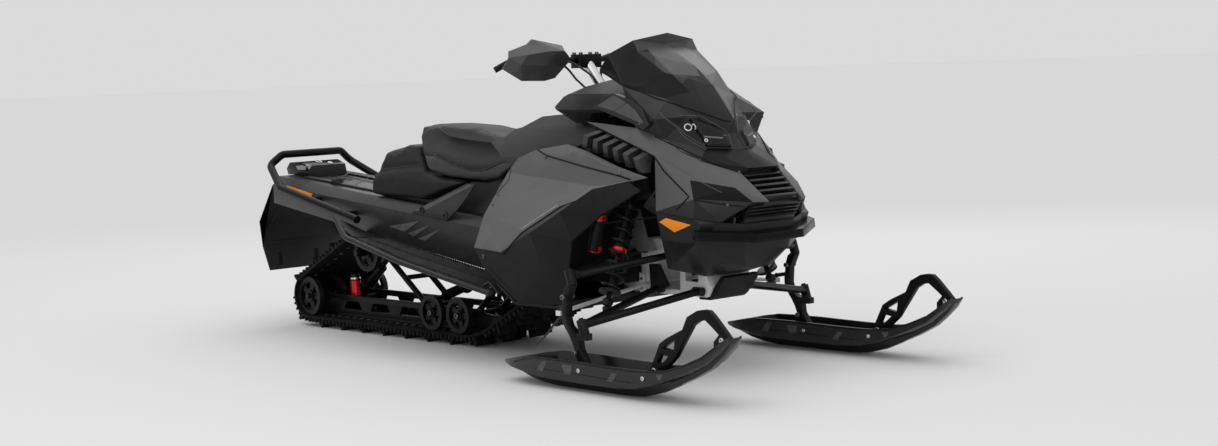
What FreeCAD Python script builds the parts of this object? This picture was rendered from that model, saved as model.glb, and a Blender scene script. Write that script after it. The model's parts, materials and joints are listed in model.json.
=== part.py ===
import FreeCAD, Part
import math
import os

# Snowmobile in millimetres. +X is forward, +Y is the rider's left, +Z is up from
# the snow. Stations along X are first measured from a datum over the footwells,
# and every piece is moved at the end so that the origin is under the middle of
# the whole length. Pieces come in left and right pairs about the XZ plane.

# Skis and front suspension
ski_stance = 1090.0
ski_width = 144.0
ski_wall = 9.0
keel_width = 26.0
runner_diameter = 10.0
kingpin_low = (916.0, 210.0)
kingpin_high = (865.0, 372.0)
kingpin_pin_radius = 8.0
eye_radius = 17.0
pin_clearance = 0.3
leg_thickness = 26.0
leg_foot_rear = 899.0
leg_foot_front = 937.0
leg_foot_z = 60.0
leg_seat_gap = 0.5
arm_tube_radius = 13.0
tie_rod_radius = 7.0
tie_rod_ball = 9.0
tie_rod_inner = (140.0, 295.0)
eye_half_height = 18.0
frame_rear_x = 740.0
frame_half_width = 104.0
steering_arm_rise = 84.0
steering_arm_length = 106.0
steering_arm_inset = 12.0
rod_gap = 0.6
shock_body_radius = 21.0
spring_radius = 33.0
spring_wire = 5.0
spring_turns = 7

shock_top = (848.0, 240.0, 618.0)
shock_foot = (883.0, 400.0, 268.0)
reservoir_top = (775.0, 322.0, 552.0)
reservoir_foot = (742.0, 326.0, 430.0)

# Track, rails and wheels
track_width = 381.0
track_pitches = 48
belt_thickness = 8.0
lug_height = 38.0
lug_length = 16.0
rear_axle_x = -1244.0
rear_wheel_radius = 82.5
idler_x = -850.0
idler_z = 330.0
idler_radius = 80.0
drive_x = 180.0
drive_z = 305.0
sprocket_radius = 92.0
rail_bend_x = -190.0
rail_bend_radius = 350.0
rail_y = 100.0
rail_thickness = 12.0
slider_height = 12.0
wheel_width = 22.0
wheel_clearance = 0.4
mid_wheel_radius = 70.0
mid_wheel_stations = (-398.0, -229.0)
wheel_y = 165.0
axle_radius = 12.0
shaft_radius = 10.0
rail_shaft_places = ((-1130.0, 112.0), (-562.0, 120.0), (-250.0, 112.0), (-650.0, 116.0))
arm_head = (20.0, 340.0)

# Tunnel and footboards
tunnel_half_width = 206.0
tunnel_wall = 3.0
tunnel_rear = -1430.0
tunnel_front = 335.0
tunnel_edge_rear_z = 598.0
tunnel_edge_front_z = 433.0
chamfer_width = 28.0
chamfer_height = 36.0
board_thickness = 3.0
board_tube_radius = 11.0
flap_thickness = 6.0
socket_x = -1087.0
socket_height = 24.0
socket_depth = 22.0
socket_bore_radius = 13.0
bumper_tube_radius = 16.0
deck_pad_height = 1.5
deck_pad_rear = -1290.0
deck_pad_front = -790.0

# Bodywork
panel_wall = 5.0
panel_gap = 0.3
reflector_thickness = 4.0
hood_wall = 10.0
glass_wall = 4.0
louvre_count = 6
louvre_width = 25.0
vent_depth = 34.0
vent_reach = 0.8
vent_head_inset = 12.0
vent_head_drop = 3.0
vent_foot_inset = 16.0
vent_foot_narrowing = 25.0
vent_foot_start = -0.22
vent_foot_spread = 1.875
vent_bend = (-8.0, 30.0, 10.0)
guard_wall = 6.0
guard_mount_radius = 7.0
dash_panel_wall = 24.0
dash_panel_stand = 10.0

# Steering
bar_centre = (375.0, 1075.0)
column_foot = (560.0, 853.0)
bar_radius = 11.0
grip_radius = 17.0
column_radius = 19.0
cable_radius = 4.0
cable_bend = 40.0
cable_room_radius = 60.0
cable_room_start = 106.0

ski_y = ski_stance / 2
belt_outer = lug_height
belt_inner = lug_height + belt_thickness
rear_axle_z = belt_inner + rear_wheel_radius


def vec(x, y, z):
    return FreeCAD.Vector(x, y, z)


def mirrored(shape):
    return shape.mirror(vec(0, 0, 0), vec(0, 1, 0))


def pair(shape):
    return [shape, mirrored(shape)]


def joined(shapes):
    result = shapes[0]
    if len(shapes) > 1:
        result = shapes[0].multiFuse(shapes[1:])
    return result.removeSplitter()


def side_prism(outline, y_low, y_high):
    """An outline in X and Z, stretched across from y_low to y_high."""
    points = [vec(x, y_low, z) for x, z in outline]
    face = Part.Face(Part.makePolygon(points + points[:1]))
    return face.extrude(vec(0, y_high - y_low, 0))


def front_prism(outline, x_low, x_high):
    """An outline in Y and Z, stretched along from x_low to x_high."""
    points = [vec(x_low, y, z) for y, z in outline]
    face = Part.Face(Part.makePolygon(points + points[:1]))
    return face.extrude(vec(x_high - x_low, 0, 0))


def plan_prism(outline, z_low, z_high):
    """An outline in X and Y, stretched up from z_low to z_high."""
    points = [vec(x, y, z_low) for x, y in outline]
    face = Part.Face(Part.makePolygon(points + points[:1]))
    return face.extrude(vec(0, 0, z_high - z_low))


def block(low, high):
    size = [b - a for a, b in zip(low, high)]
    return Part.makeBox(size[0], size[1], size[2], vec(*low))


def rod(start, end, radius):
    a = vec(*start)
    direction = vec(*end) - a
    return Part.makeCylinder(radius, direction.Length, a, direction)


def cross_rod(x, z, y_low, y_high, radius):
    return rod((x, y_low, z), (x, y_high, z), radius)


def cross_ring(x, z, y_low, y_high, radius, bore):
    return cross_rod(x, z, y_low, y_high, radius).cut(cross_rod(x, z, y_low - 1, y_high + 1, bore))


def tube(route, radius, bend):
    """A round bar along straight runs joined by tangent arcs."""
    points = [vec(*p) for p in route]
    edges = []
    start = points[0]
    for before, corner, after in zip(points, points[1:], points[2:]):
        into = (corner - before).normalize()
        out = (after - corner).normalize()
        turn = into.getAngle(out)
        reach = bend * math.tan(turn / 2)
        first = corner - into * reach
        last = corner + out * reach
        inward = (out - into).normalize()
        middle = corner + inward * (bend / math.cos(turn / 2) - bend)
        edges.append(Part.makeLine(start, first))
        edges.append(Part.Arc(first, middle, last).toShape())
        start = last
    edges.append(Part.makeLine(start, points[-1]))
    path = Part.Wire(edges)
    ring = Part.Wire(Part.makeCircle(radius, points[0], points[1] - points[0]))
    return path.makePipeShell([ring], True, False)


def ruled(sections):
    """A solid through closed polygons that have the same number of corners."""
    wires = []
    for section in sections:
        points = [vec(*p) for p in section]
        wires.append(Part.makePolygon(points + points[:1]))
    return Part.makeLoft(wires, True, True)


def triangles_of(loop):
    return [(loop[0], loop[i], loop[i + 1]) for i in range(1, len(loop) - 1)]


def biggest(shape):
    return max(shape.Solids, key=lambda solid: solid.Volume)


def shell_solid(corners, loops):
    faces = []
    for loop in loops:
        for a, b, c in triangles_of(loop):
            points = [vec(*corners[a]), vec(*corners[b]), vec(*corners[c])]
            faces.append(Part.Face(Part.makePolygon(points + points[:1])))
    solid = Part.Solid(Part.Shell(faces))
    if solid.Volume < 0:
        solid.reverse()
    return solid.removeSplitter()


def skin(corners, loops, inward):
    """A faceted panel: an outer skin of flat facets, and the same skin moved
    inward, closed by a rim along its free edges. inward gives each corner's move."""
    count = len(corners)
    inner = [tuple(p + d for p, d in zip(corner, inward(corner))) for corner in corners]
    sides = {}
    for loop in loops:
        for a, b in zip(loop, loop[1:] + loop[:1]):
            sides[(a, b)] = True
    rim = []
    for a, b in sides:
        if (b, a) not in sides:
            rim.append([b, a, a + count, b + count])
    outer_loops = [list(loop) for loop in loops]
    inner_loops = []
    for loop in loops:
        for a, b, c in triangles_of(loop):
            inner_loops.append([c + count, b + count, a + count])
    return shell_solid(corners + inner, outer_loops + inner_loops + rim)


def both_sides(corners, loops):
    """Corners with y > 0 get a twin at -y; corners on the centre plane are shared."""
    twin = {}
    out = list(corners)
    for i, (x, y, z) in enumerate(corners):
        if abs(y) < 0.001:
            twin[i] = i
        else:
            twin[i] = len(out)
            out.append((x, -y, z))
    more = [[twin[i] for i in [loop[0]] + loop[:0:-1]] for loop in loops]
    return out, [list(loop) for loop in loops] + more


def tangent_normal(a, b):
    """Outward unit normal of the belt run from circle a to circle b."""
    dx = b[0] - a[0]
    dz = b[1] - a[1]
    distance = math.hypot(dx, dz)
    lean = math.acos((a[2] - b[2]) / distance)
    angle = math.atan2(dz, dx) - lean
    return angle


def belt_circles(offset):
    """The round supports of the track's inner face, in running order, grown by offset."""
    base = [
        (rear_axle_x, rear_axle_z, rear_wheel_radius),
        (rail_bend_x, belt_inner + rail_bend_radius, rail_bend_radius),
        (drive_x, drive_z, sprocket_radius),
        (idler_x, idler_z, idler_radius),
    ]
    return [(x, z, r + offset) for x, z, r in base]


def belt_runs(offset):
    """Straight runs and arcs of the belt as (kind, data) in running order."""
    circles = belt_circles(offset)
    count = len(circles)
    normals = [tangent_normal(circles[i], circles[(i + 1) % count]) for i in range(count)]
    runs = []
    for i in range(count):
        x, z, r = circles[i]
        start = normals[i - 1]
        end = normals[i]
        while end < start:
            end += 2 * math.pi
        runs.append(("arc", (x, z, r, start, end)))
        nx, nz, nr = circles[(i + 1) % count]
        a = (x + r * math.cos(normals[i]), z + r * math.sin(normals[i]))
        b = (nx + nr * math.cos(normals[i]), nz + nr * math.sin(normals[i]))
        runs.append(("line", (a, b, normals[i])))
    return runs


def run_length(run):
    kind, data = run
    if kind == "arc":
        return data[2] * (data[4] - data[3])
    return math.hypot(data[1][0] - data[0][0], data[1][1] - data[0][1])


def belt_point(distance, offset):
    """Point of the belt line at a distance along it, with its outward angle."""
    for run in belt_runs(offset):
        length = run_length(run)
        if distance <= length:
            kind, data = run
            if kind == "arc":
                angle = data[3] + distance / data[2]
                return (data[0] + data[2] * math.cos(angle), data[1] + data[2] * math.sin(angle), angle)
            share = distance / length
            a, b, angle = data
            return (a[0] + share * (b[0] - a[0]), a[1] + share * (b[1] - a[1]), angle)
        distance -= length
    return belt_point(0, offset)


def belt_wire(offset, y):
    edges = []
    for kind, data in belt_runs(offset):
        if kind == "arc":
            x, z, r, start, end = data
            where = []
            for angle in (start, (start + end) / 2, end):
                where.append(vec(x + r * math.cos(angle), y, z + r * math.sin(angle)))
            edges.append(Part.Arc(*where).toShape())
        else:
            a, b, angle = data
            edges.append(Part.makeLine(vec(a[0], y, a[1]), vec(b[0], y, b[1])))
    return Part.Wire(edges)


def track():
    """Endless rubber track: one belt loop with a row of lugs at each pitch."""
    half = track_width / 2
    outer = Part.Face(belt_wire(belt_thickness, -half))
    inner = Part.Face(belt_wire(0, -half))
    belt = outer.cut(inner).extrude(vec(0, track_width, 0))
    total = sum(run_length(run) for run in belt_runs(belt_thickness))
    pitch = total / track_pitches
    lug_sets = (((-180.0, -92.0), (-44.0, 44.0), (92.0, 180.0)), ((-136.0, -50.0), (50.0, 136.0)))
    lugs = []
    for step in range(track_pitches):
        x, z, angle = belt_point((step + 0.5) * pitch, belt_thickness)
        out = (math.cos(angle), math.sin(angle))
        along = (-out[1], out[0])
        foot = []
        for side, level in ((-0.5, -1.0), (0.5, -1.0), (0.32, lug_height), (-0.32, lug_height)):
            foot.append((x + along[0] * side * lug_length + out[0] * level,
                         z + along[1] * side * lug_length + out[1] * level))
        for low, high in lug_sets[step % 2]:
            lugs.append(side_prism(foot, low, high))
    return belt.multiFuse(lugs)


def rail(y):
    """One slide rail: a flat bar with an upswept nose and lightening windows."""
    bottom = belt_inner + slider_height
    radius = rail_bend_radius - slider_height
    centre_z = belt_inner + rail_bend_radius
    sweep = math.radians(27.0)
    nose = []
    for step in range(7):
        angle = sweep * step / 6
        nose.append((rail_bend_x + radius * math.sin(angle), centre_z - radius * math.cos(angle)))
    depth = 78.0
    back = []
    for step in range(6, -1, -1):
        angle = sweep * step / 6
        upper = radius - depth * (1 - 0.6 * step / 6)
        back.append((rail_bend_x + upper * math.sin(angle), centre_z - upper * math.cos(angle)))
    tail = rear_axle_x - 20
    outline = [(tail, bottom)] + nose + back + [(rear_axle_x + 90, bottom + depth), (tail, rear_axle_z + 26)]
    plate = side_prism(outline, y - rail_thickness / 2, y + rail_thickness / 2)
    windows = []
    for start, end in ((-1090, -960), (-900, -760), (-700, -560), (-500, -300)):
        shape = [(start, bottom + 20), (end, bottom + 20), (end - 22, bottom + 54), (start + 22, bottom + 54)]
        windows.append(side_prism(shape, y - rail_thickness, y + rail_thickness))
    plate = plate.cut(windows[0].multiFuse(windows[1:]))
    return plate.cut(cross_rod(rear_axle_x, rear_axle_z, y - 50, y + 50, axle_radius))


def slider(y):
    """Low-friction shoe that the rail rides on, bent up with the rail's nose."""
    sweep = math.radians(27.0)
    half = rail_thickness / 2 + 4
    centre = vec(rail_bend_x, y - half, belt_inner + rail_bend_radius)
    outer = rail_bend_radius - 0.3
    inner = rail_bend_radius - slider_height
    edges = []
    tail = rear_axle_x + 110

    def at(radius, angle):
        return centre + vec(radius * math.sin(angle), 0, -radius * math.cos(angle))

    start = vec(tail, y - half, belt_inner + 0.3)
    edges.append(Part.makeLine(start, at(outer, 0)))
    edges.append(Part.Arc(at(outer, 0), at(outer, sweep / 2), at(outer, sweep)).toShape())
    edges.append(Part.makeLine(at(outer, sweep), at(inner, sweep)))
    edges.append(Part.Arc(at(inner, sweep), at(inner, sweep / 2), at(inner, 0)).toShape())
    edges.append(Part.makeLine(at(inner, 0), vec(tail, y - half, belt_inner + slider_height)))
    edges.append(Part.makeLine(vec(tail, y - half, belt_inner + slider_height), start))
    strip = Part.Face(Part.Wire(edges)).extrude(vec(0, 2 * half, 0))
    return strip.cut(rail_nose_room(y))


def rail_nose_room(y):
    """Space of the rail's faceted nose, so that the shoe only touches it."""
    half = rail_thickness
    radius = rail_bend_radius - slider_height
    centre_z = belt_inner + rail_bend_radius
    sweep = math.radians(27.0)
    line = []
    for step in range(7):
        angle = sweep * step / 6
        line.append((rail_bend_x + radius * math.sin(angle), centre_z - radius * math.cos(angle)))
    top = [(line[-1][0], line[-1][1] + 60), (rail_bend_x, belt_inner + 90)]
    return side_prism(line + top, y - half, y + half)


def spoked_wheel(x, z, y, radius):
    """Road wheel: tyre ring, six spokes and a hub with the axle's bore left full."""
    low = y - wheel_width / 2
    high = y + wheel_width / 2
    disc = cross_rod(x, z, low, high, radius)
    rim_inner = radius * 0.74
    hub = radius * 0.3
    for side, other in ((low, low + 7), (high - 7, high)):
        disc = disc.cut(cross_ring(x, z, side, other, rim_inner, hub))
    windows = []
    for step in range(5):
        angle = 2 * math.pi * (step + 0.5) / 5
        corners = []
        for turn, reach in ((-0.22, 0.38), (0.22, 0.38), (0.38, 0.70), (-0.38, 0.70)):
            corners.append((x + radius * reach * math.cos(angle + turn),
                            z + radius * reach * math.sin(angle + turn)))
        windows.append(side_prism(corners, low - 1, high + 1))
    return disc.cut(windows[0].multiFuse(windows[1:]))


def rear_axle():
    """Rear axle with two outer and two inner wheels on it."""
    pieces = [cross_rod(rear_axle_x, rear_axle_z, -wheel_y - 22, wheel_y + 22, axle_radius)]
    radius = rear_wheel_radius - wheel_clearance
    for y in (-wheel_y, -48.0, 48.0, wheel_y):
        pieces.append(spoked_wheel(rear_axle_x, rear_axle_z, y, radius))
    return joined(pieces)


def mid_wheels():
    """Four outrigger wheels on stub axles from the rails."""
    wheels = []
    z = belt_inner + wheel_clearance + mid_wheel_radius
    for x in mid_wheel_stations:
        for side in (-1, 1):
            y = side * wheel_y
            wheel = spoked_wheel(x, z, y, mid_wheel_radius)
            inner = side * (rail_y + rail_thickness / 2)
            outer = side * (wheel_y + 16)
            stub = cross_rod(x, z, min(inner, outer), max(inner, outer), axle_radius)
            wheels.append(joined([wheel, stub]))
    return wheels


def upper_idlers():
    """Pair of idler wheels on a cross axle under the track's top run."""
    inside = tunnel_half_width - tunnel_wall
    pieces = [cross_rod(idler_x, idler_z, -inside, inside, 14)]
    for y in (-140.0, 140.0):
        pieces.append(spoked_wheel(idler_x, idler_z, y, idler_radius - wheel_clearance))
    return joined(pieces)


def drive_axle():
    """Cross shaft with two toothed drivers under the front of the tunnel."""
    reach = tunnel_half_width - tunnel_wall
    pieces = [cross_rod(drive_x, drive_z, -reach, reach, 16)]
    tooth_count = 9
    for y in (-58.0, 58.0):
        outline = []
        for step in range(tooth_count):
            for share, level in ((0.0, 0.78), (0.32, 0.78), (0.45, 0.99), (0.87, 0.99)):
                angle = 2 * math.pi * (step + share) / tooth_count
                r = (sprocket_radius - 1.0) * level
                outline.append((drive_x + r * math.cos(angle), drive_z + r * math.sin(angle)))
        pieces.append(side_prism(outline, y - 14, y + 14))
    return joined(pieces)


def edge_z(x):
    share = (tunnel_front - x) / (tunnel_front - tunnel_rear)
    return tunnel_edge_front_z + share * (tunnel_edge_rear_z - tunnel_edge_front_z)


def deck_z(x):
    return edge_z(x) + chamfer_height


# station, height at the tunnel, height at the outer edge, reach of the outer edge
board_line = (
    (294.0, 265.0, 265.0, 428.0), (-236.0, 345.0, 349.0, 430.0),
    (-632.0, 404.0, 424.0, 400.0), (-766.0, 424.0, 497.0, 352.0),
)


def tunnel():
    """Folded sheet tunnel with chamfered top edges, open underneath."""
    bottom = [(tunnel_front, 262.0), (-236.0, 342.0), (-766.0, 420.0), (tunnel_rear, 520.0)]
    sections = []
    w = tunnel_half_width
    t = tunnel_wall
    for x, low in bottom:
        e = edge_z(x)
        d = deck_z(x)
        c = w - chamfer_width
        half = [(w, low), (w, e), (c, d)]
        inner = [(w - t, low), (w - t, e - 1), (c - 1, d - t)]
        ring = [(x, y, z) for y, z in half]
        ring += [(x, -y, z) for y, z in reversed(half)]
        ring += [(x, -y, z) for y, z in inner]
        ring += [(x, y, z) for y, z in reversed(inner)]
        sections.append(ring)
    parts = [ruled(sections[i:i + 2]) for i in range(len(sections) - 1)]
    front = deck_pad_front
    rear = deck_pad_rear
    pad = side_prism([(rear, deck_z(rear) - 1), (rear, deck_z(rear) + deck_pad_height),
                      (front, deck_z(front) + deck_pad_height), (front, deck_z(front) - 1)], -80, 80)
    return joined(parts + [pad])


def footboard():
    """Left footboard: perforated board with a round outer edge tube."""
    w = tunnel_half_width
    t = board_thickness
    sections = []
    for x, inner, outer, out in board_line:
        sections.append([(x, w, inner), (x, out, outer), (x, out, outer - t), (x, w, inner - t)])
    board = joined([ruled(sections[i:i + 2]) for i in range(len(sections) - 1)])
    slots = []
    for column in range(11):
        x = 236 - column * 78
        for y in (232, 288, 344):
            slots.append(block((x - 50, y, 200), (x, y + 34, 560)))
    board = board.cut(slots[0].multiFuse(slots[1:]))
    route = [(x, out, outer - t / 2) for x, inner, outer, out in board_line]
    return joined([board, tube(route, board_tube_radius, 120)])


def snow_flap():
    """Moulded flap hanging from the tunnel's rear edge, bowed backwards."""
    line = [(tunnel_rear - 0.2, 600.0), (-1550.0, 437.0), (-1534.0, 330.0), (-1486.0, 228.0)]
    back = [(x - flap_thickness, z - 2) for x, z in reversed(line)]
    return side_prism(line + back, -tunnel_half_width, tunnel_half_width)


def rear_bumper():
    """Looped grab bar over the tunnel's rear end, with its two stays."""
    half = [(-737.0, 264.0, 477.0), (-1284.0, 264.0, 591.0), (-1448.0, 205.0, 681.0), (-1433.0, 150.0, 724.0)]
    route = half + [(x, -y, z) for x, y, z in reversed(half)]
    loop = tube(route, bumper_tube_radius, 34)
    stays = []
    for x, z in ((-840.0, 498.0), (-1090.0, 550.0)):
        stays += pair(block((x - 22, tunnel_half_width, z - 12), (x + 22, 264, z + 6)))
    return joined([loop] + stays)


def tail_lamp():
    """Tail lamp housing on the deck's rear end."""
    floor = deck_z(tunnel_rear)
    outline = [(tunnel_rear - 48, floor + 1), (tunnel_rear - 56, floor + 26), (tunnel_rear - 30, floor + 52),
               (tunnel_rear + 50, floor + 56), (tunnel_rear + 104, floor + 38),
               (tunnel_rear + 118, deck_z(tunnel_rear + 118)), (tunnel_rear, floor)]
    return side_prism(outline, -98, 98)


def deck_rack():
    """Raised ribs and two accessory sockets on the deck behind the bag."""
    ribs = []
    for y in (-110.0, 110.0):
        outline = [(-1310, deck_z(-1310)), (-1310, deck_z(-1310) + 8), (-790, deck_z(-790) + 8),
                   (-790, deck_z(-790))]
        rib = side_prism(outline, y - 16, y + 16)
        floor = deck_z(socket_x)
        boss = Part.makeCylinder(24, socket_height + 6, vec(socket_x, y, floor - 6))
        bore_floor = vec(socket_x, y, floor + socket_height - socket_depth)
        bore = Part.makeCylinder(socket_bore_radius, socket_depth, bore_floor)
        whole = joined([rib, boss]).cut(tunnel()).cut(bore)
        ribs.append(whole)
    return ribs


def seat_shape():
    profile = [(-538, 800), (-550, 846), (-380, 850), (-199, 836), (39, 790), (122, 757), (182, 718),
               (59, 650), (-43, 633), (-270, 646), (-396, 666), (-463, 730)]
    across = [(-172, 630), (-192, 690), (-168, 735), (-112, 800), (-66, 852), (66, 852), (112, 800),
              (168, 735), (192, 690), (172, 630)]
    return side_prism(profile, -200, 200).common(front_prism(across, -600, 220))


def bag_shape():
    profile = [(-735, 573), (-727, 632), (-694, 741), (-558, 769), (-486, 764), (-464, 728), (-398, 664),
               (-272, 644), (-128, 636), (-396, 560)]
    across = [(-196, 540), (-202, 622), (-128, 775), (128, 775), (202, 622), (196, 540)]
    return side_prism(profile, -210, 210).common(front_prism(across, -800, 0))


def under_seat():
    """Black plastic body between the deck, the seat and the tank."""
    profile = [(-730, deck_z(-730)), (-735, 572), (-396, 559), (-128, 635), (-43, 632), (59, 649),
               (150, 696), (240, 690), (240, deck_z(240))]
    return side_prism(profile, -150, 150)


def side_brace():
    """Left triangular brace from the deck's edge up to the seat base."""
    y = tunnel_half_width
    outer = [(-450, 511), (-92, 631), (-40, 631), (-86, 584), (-149, 533), (-227, 484)]
    return side_prism(outer, y, y + 6)


def tank_cover():
    """Cover over the fuel tank, between the seat's nose and the console."""
    profile = [(176, 714), (118, 752), (38, 788), (105, 808), (136, 834), (172, 840), (252, 878), (400, 888),
               (560, 870), (600, 800), (330, 700)]
    across = [(-228, 690), (-232, 735), (-180, 800), (-110, 884), (110, 884), (180, 800), (232, 735),
              (228, 690)]
    cover = side_prism(profile, -240, 240).common(front_prism(across, 30, 610))
    return biggest(cover.cut(seat_shape()).cut(column_room()).cut(console()))


def console():
    """Faceted instrument pod in front of the handlebar, with a well for the column and its cables."""
    profile = [(495, 850), (410, 915), (440, 950), (520, 985), (640, 1010), (760, 970), (800, 940), (800, 905),
               (600, 890), (545, 850)]
    across = [(-160, 856), (-196, 905), (-168, 958), (-92, 1010), (92, 1010), (168, 958), (196, 905),
              (160, 856), (120, 856), (60, 890), (-60, 890), (-120, 856)]
    foot, head, axis = column_axis()
    well = Part.makeCylinder(cable_room_radius, 240, foot + axis * cable_room_start, axis)
    pod = side_prism(profile, -200, 200).common(front_prism(across, 400, 900))
    return biggest(pod.cut(column_room()).cut(well))


def dash_panel():
    """Left trim panel beside the console, proud of the hood's side."""
    rear, low, high = [vec(*hood_corners[name]) for name in ("strip_a", "strip_b", "screen_rear")]
    normal = (low - rear).cross(high - rear).normalize()
    if normal.y < 0:
        normal = normal * -1
    outline = [(669, 916), (783, 959), (878, 937), (937, 907), (987, 854), (957, 839), (899, 858), (777, 887)]
    outer = []
    for x, z in outline:
        y = rear.y + (dash_panel_stand - normal.x * (x - rear.x) - normal.z * (z - rear.z)) / normal.y
        outer.append((x, y, z))

    def inward(corner):
        return (0.0, -dash_panel_wall, 0.0)

    return biggest(skin(outer, [list(range(len(outer)))], inward).cut(hood()))


hood_corners = {
    "dash": (820, 0, 958), "screen_rear": (820, 236, 982), "screen_kink": (954, 160, 937),
    "screen_tip": (1112, 0, 858), "brow_out": (1016, 136, 875), "brow_in": (1102, 26, 813),
    "brow_mid": (1104, 0, 813), "lamp_out": (1091, 120, 766), "lamp_in": (1133, 33, 760),
    "ridge": (1135, 0, 760), "cowl_edge": (1239, 70, 701), "cowl_mid": (1241, 0, 701),
    "vent_top": (1224, 94, 686), "vent_low": (1335, 80, 594),
    "strip_a": (623, 230, 864), "strip_b": (906, 262, 844), "strip_c": (1004, 225, 803),
    "strip_d": (1118, 175, 729), "flank": (1000, 268, 872),
    "low_a": (710, 250, 843), "low_b": (881, 292, 803), "low_c": (1007, 276, 751),
    "cheek_top": (1122, 230, 670), "cheek_front": (1252, 152, 642), "cheek_tip": (1308, 127, 594),
    "cheek_out": (1157, 252, 609), "pan_rear": (1038, 310, 570), "pan_out": (1174, 272, 547),
    "pan_front": (1223, 196, 531),
}

hood_facets = [
    ("dash", "screen_kink", "screen_rear"), ("dash", "screen_tip", "screen_kink"),
    ("screen_rear", "screen_kink", "flank"), ("screen_rear", "flank", "strip_b"),
    ("flank", "strip_c", "strip_b"), ("screen_kink", "brow_out", "flank"), ("flank", "brow_out", "strip_c"),
    ("screen_kink", "brow_in", "brow_out"), ("screen_kink", "screen_tip", "brow_in"),
    ("screen_tip", "brow_mid", "brow_in"),
    ("brow_out", "brow_in", "lamp_in", "lamp_out"), ("brow_out", "lamp_out", "strip_c"),
    ("strip_c", "lamp_out", "strip_d"), ("brow_in", "brow_mid", "ridge", "lamp_in"),
    ("lamp_out", "cowl_edge", "strip_d"), ("lamp_out", "lamp_in", "cowl_edge"),
    ("lamp_in", "ridge", "cowl_mid", "cowl_edge"), ("strip_d", "cowl_edge", "vent_top"),
    ("strip_a", "strip_b", "low_b", "low_a"), ("strip_b", "strip_c", "low_c", "low_b"),
    ("strip_c", "strip_d", "low_c"), ("strip_d", "cheek_top", "low_c"),
    ("strip_d", "cheek_front", "cheek_top"), ("strip_d", "vent_top", "cheek_front"),
    ("vent_top", "vent_low", "cheek_front"), ("vent_low", "cheek_tip", "cheek_front"),
    ("low_c", "cheek_top", "cheek_out"), ("low_c", "cheek_out", "pan_rear"),
    ("cheek_top", "cheek_front", "cheek_out"), ("cheek_front", "cheek_tip", "cheek_out"),
    ("cheek_out", "pan_out", "pan_rear"), ("cheek_out", "pan_front", "pan_out"),
    ("cheek_out", "cheek_tip", "pan_front"),
]


def named_skin(corners, facets, inward, drop=0.0):
    names = list(corners)
    places = [tuple(map(float, corners[n])) for n in names]
    places = [(x, y, z - drop) for x, y, z in places]
    loops = [[names.index(n) for n in facet] for facet in facets]
    places, loops = both_sides(places, loops)
    return skin(places, loops, inward)


def body_inward(corner):
    side = 0.0
    if corner[1] > 0.001:
        side = -0.5
    if corner[1] < -0.001:
        side = 0.5
    return (-0.6 * hood_wall, side * hood_wall, -0.55 * hood_wall)


def hood():
    """One-piece hood and nose, from the windshield's foot to the bumper line."""
    return named_skin(hood_corners, hood_facets, body_inward)


pan_corners = {
    "rear_top": (1038, 310, 569), "out_top": (1174, 272, 546), "front_top": (1222, 196, 530),
    "mid_top": (1262, 118, 522), "centre_top": (1266, 0, 522),
    "edge_top": (1198, 264, 528), "edge_low": (1149, 274, 479),
    "rear_mid": (1051, 300, 475), "out_mid": (1172, 266, 463), "front_mid": (1241, 109, 425),
    "centre_mid": (1247, 0, 425),
    "rear_low": (1013, 240, 371), "keel_out": (1057, 112, 335), "keel_front": (1204, 60, 368),
    "keel_nose": (1222, 0, 370), "keel_mid": (1110, 0, 338),
}

pan_facets = [
    ("rear_top", "out_top", "edge_low", "rear_mid"), ("out_top", "edge_top", "edge_low"),
    ("out_top", "front_top", "edge_top"), ("edge_top", "front_top", "out_mid"),
    ("edge_low", "edge_top", "out_mid"), ("rear_mid", "edge_low", "out_mid"),
    ("front_top", "mid_top", "front_mid", "out_mid"), ("mid_top", "centre_top", "centre_mid", "front_mid"),
    ("rear_mid", "out_mid", "rear_low"), ("out_mid", "keel_out", "rear_low"),
    ("out_mid", "front_mid", "keel_front"), ("out_mid", "keel_front", "keel_out"),
    ("front_mid", "centre_mid", "keel_nose", "keel_front"),
    ("keel_out", "keel_front", "keel_mid"), ("keel_front", "keel_nose", "keel_mid"),
]


def nose_pan():
    """Lower nose under the bumper line, drawn in to a narrow keel."""

    def inward(corner):
        side = 0.0
        if corner[1] > 0.001:
            side = -0.5
        if corner[1] < -0.001:
            side = 0.5
        lift = -0.55
        if corner[2] < 460:
            lift = 0.55
        if corner[2] >= 460 and corner[2] < 500:
            lift = 0.0
        return (-0.6 * hood_wall, side * hood_wall, lift * hood_wall)

    return named_skin(pan_corners, pan_facets, inward, drop=panel_gap)


def grille():
    """Upper grille: a backing panel with cross slats between the two nose edges."""
    top = hood_corners["vent_top"]
    low = hood_corners["vent_low"]
    lean = vec(low[0] - top[0], 0, low[2] - top[2])
    length = lean.Length
    lean.normalize()
    face = vec(lean.z, 0, -lean.x) * -1
    start = vec(top[0], 0, top[2])
    span = [(top[0] - 60, top[1] - 2), (low[0] + 30, low[1] - 2)]
    room = plan_prism([(span[0][0], -span[0][1]), (span[1][0], -span[1][1]), (span[1][0], span[1][1]),
                       (span[0][0], span[0][1])], low[2] - 60, top[2] + 60)

    def bar(from_top, size, depth_out, depth_in):
        a = start + lean * from_top
        b = a + lean * size
        outline = []
        for point, depth in ((a, depth_out), (b, depth_out), (b, depth_in), (a, depth_in)):
            place = point + face * depth
            outline.append((place.x, place.z))
        return side_prism(outline, -top[1], top[1]).common(room)

    pieces = [bar(8, length - 16, -20, -28)]
    for step in range(5):
        pieces.append(bar(8 + step * (length - 24) / 4.6, 9, 0, -21))
    return joined(pieces).cut(hood())


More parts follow.
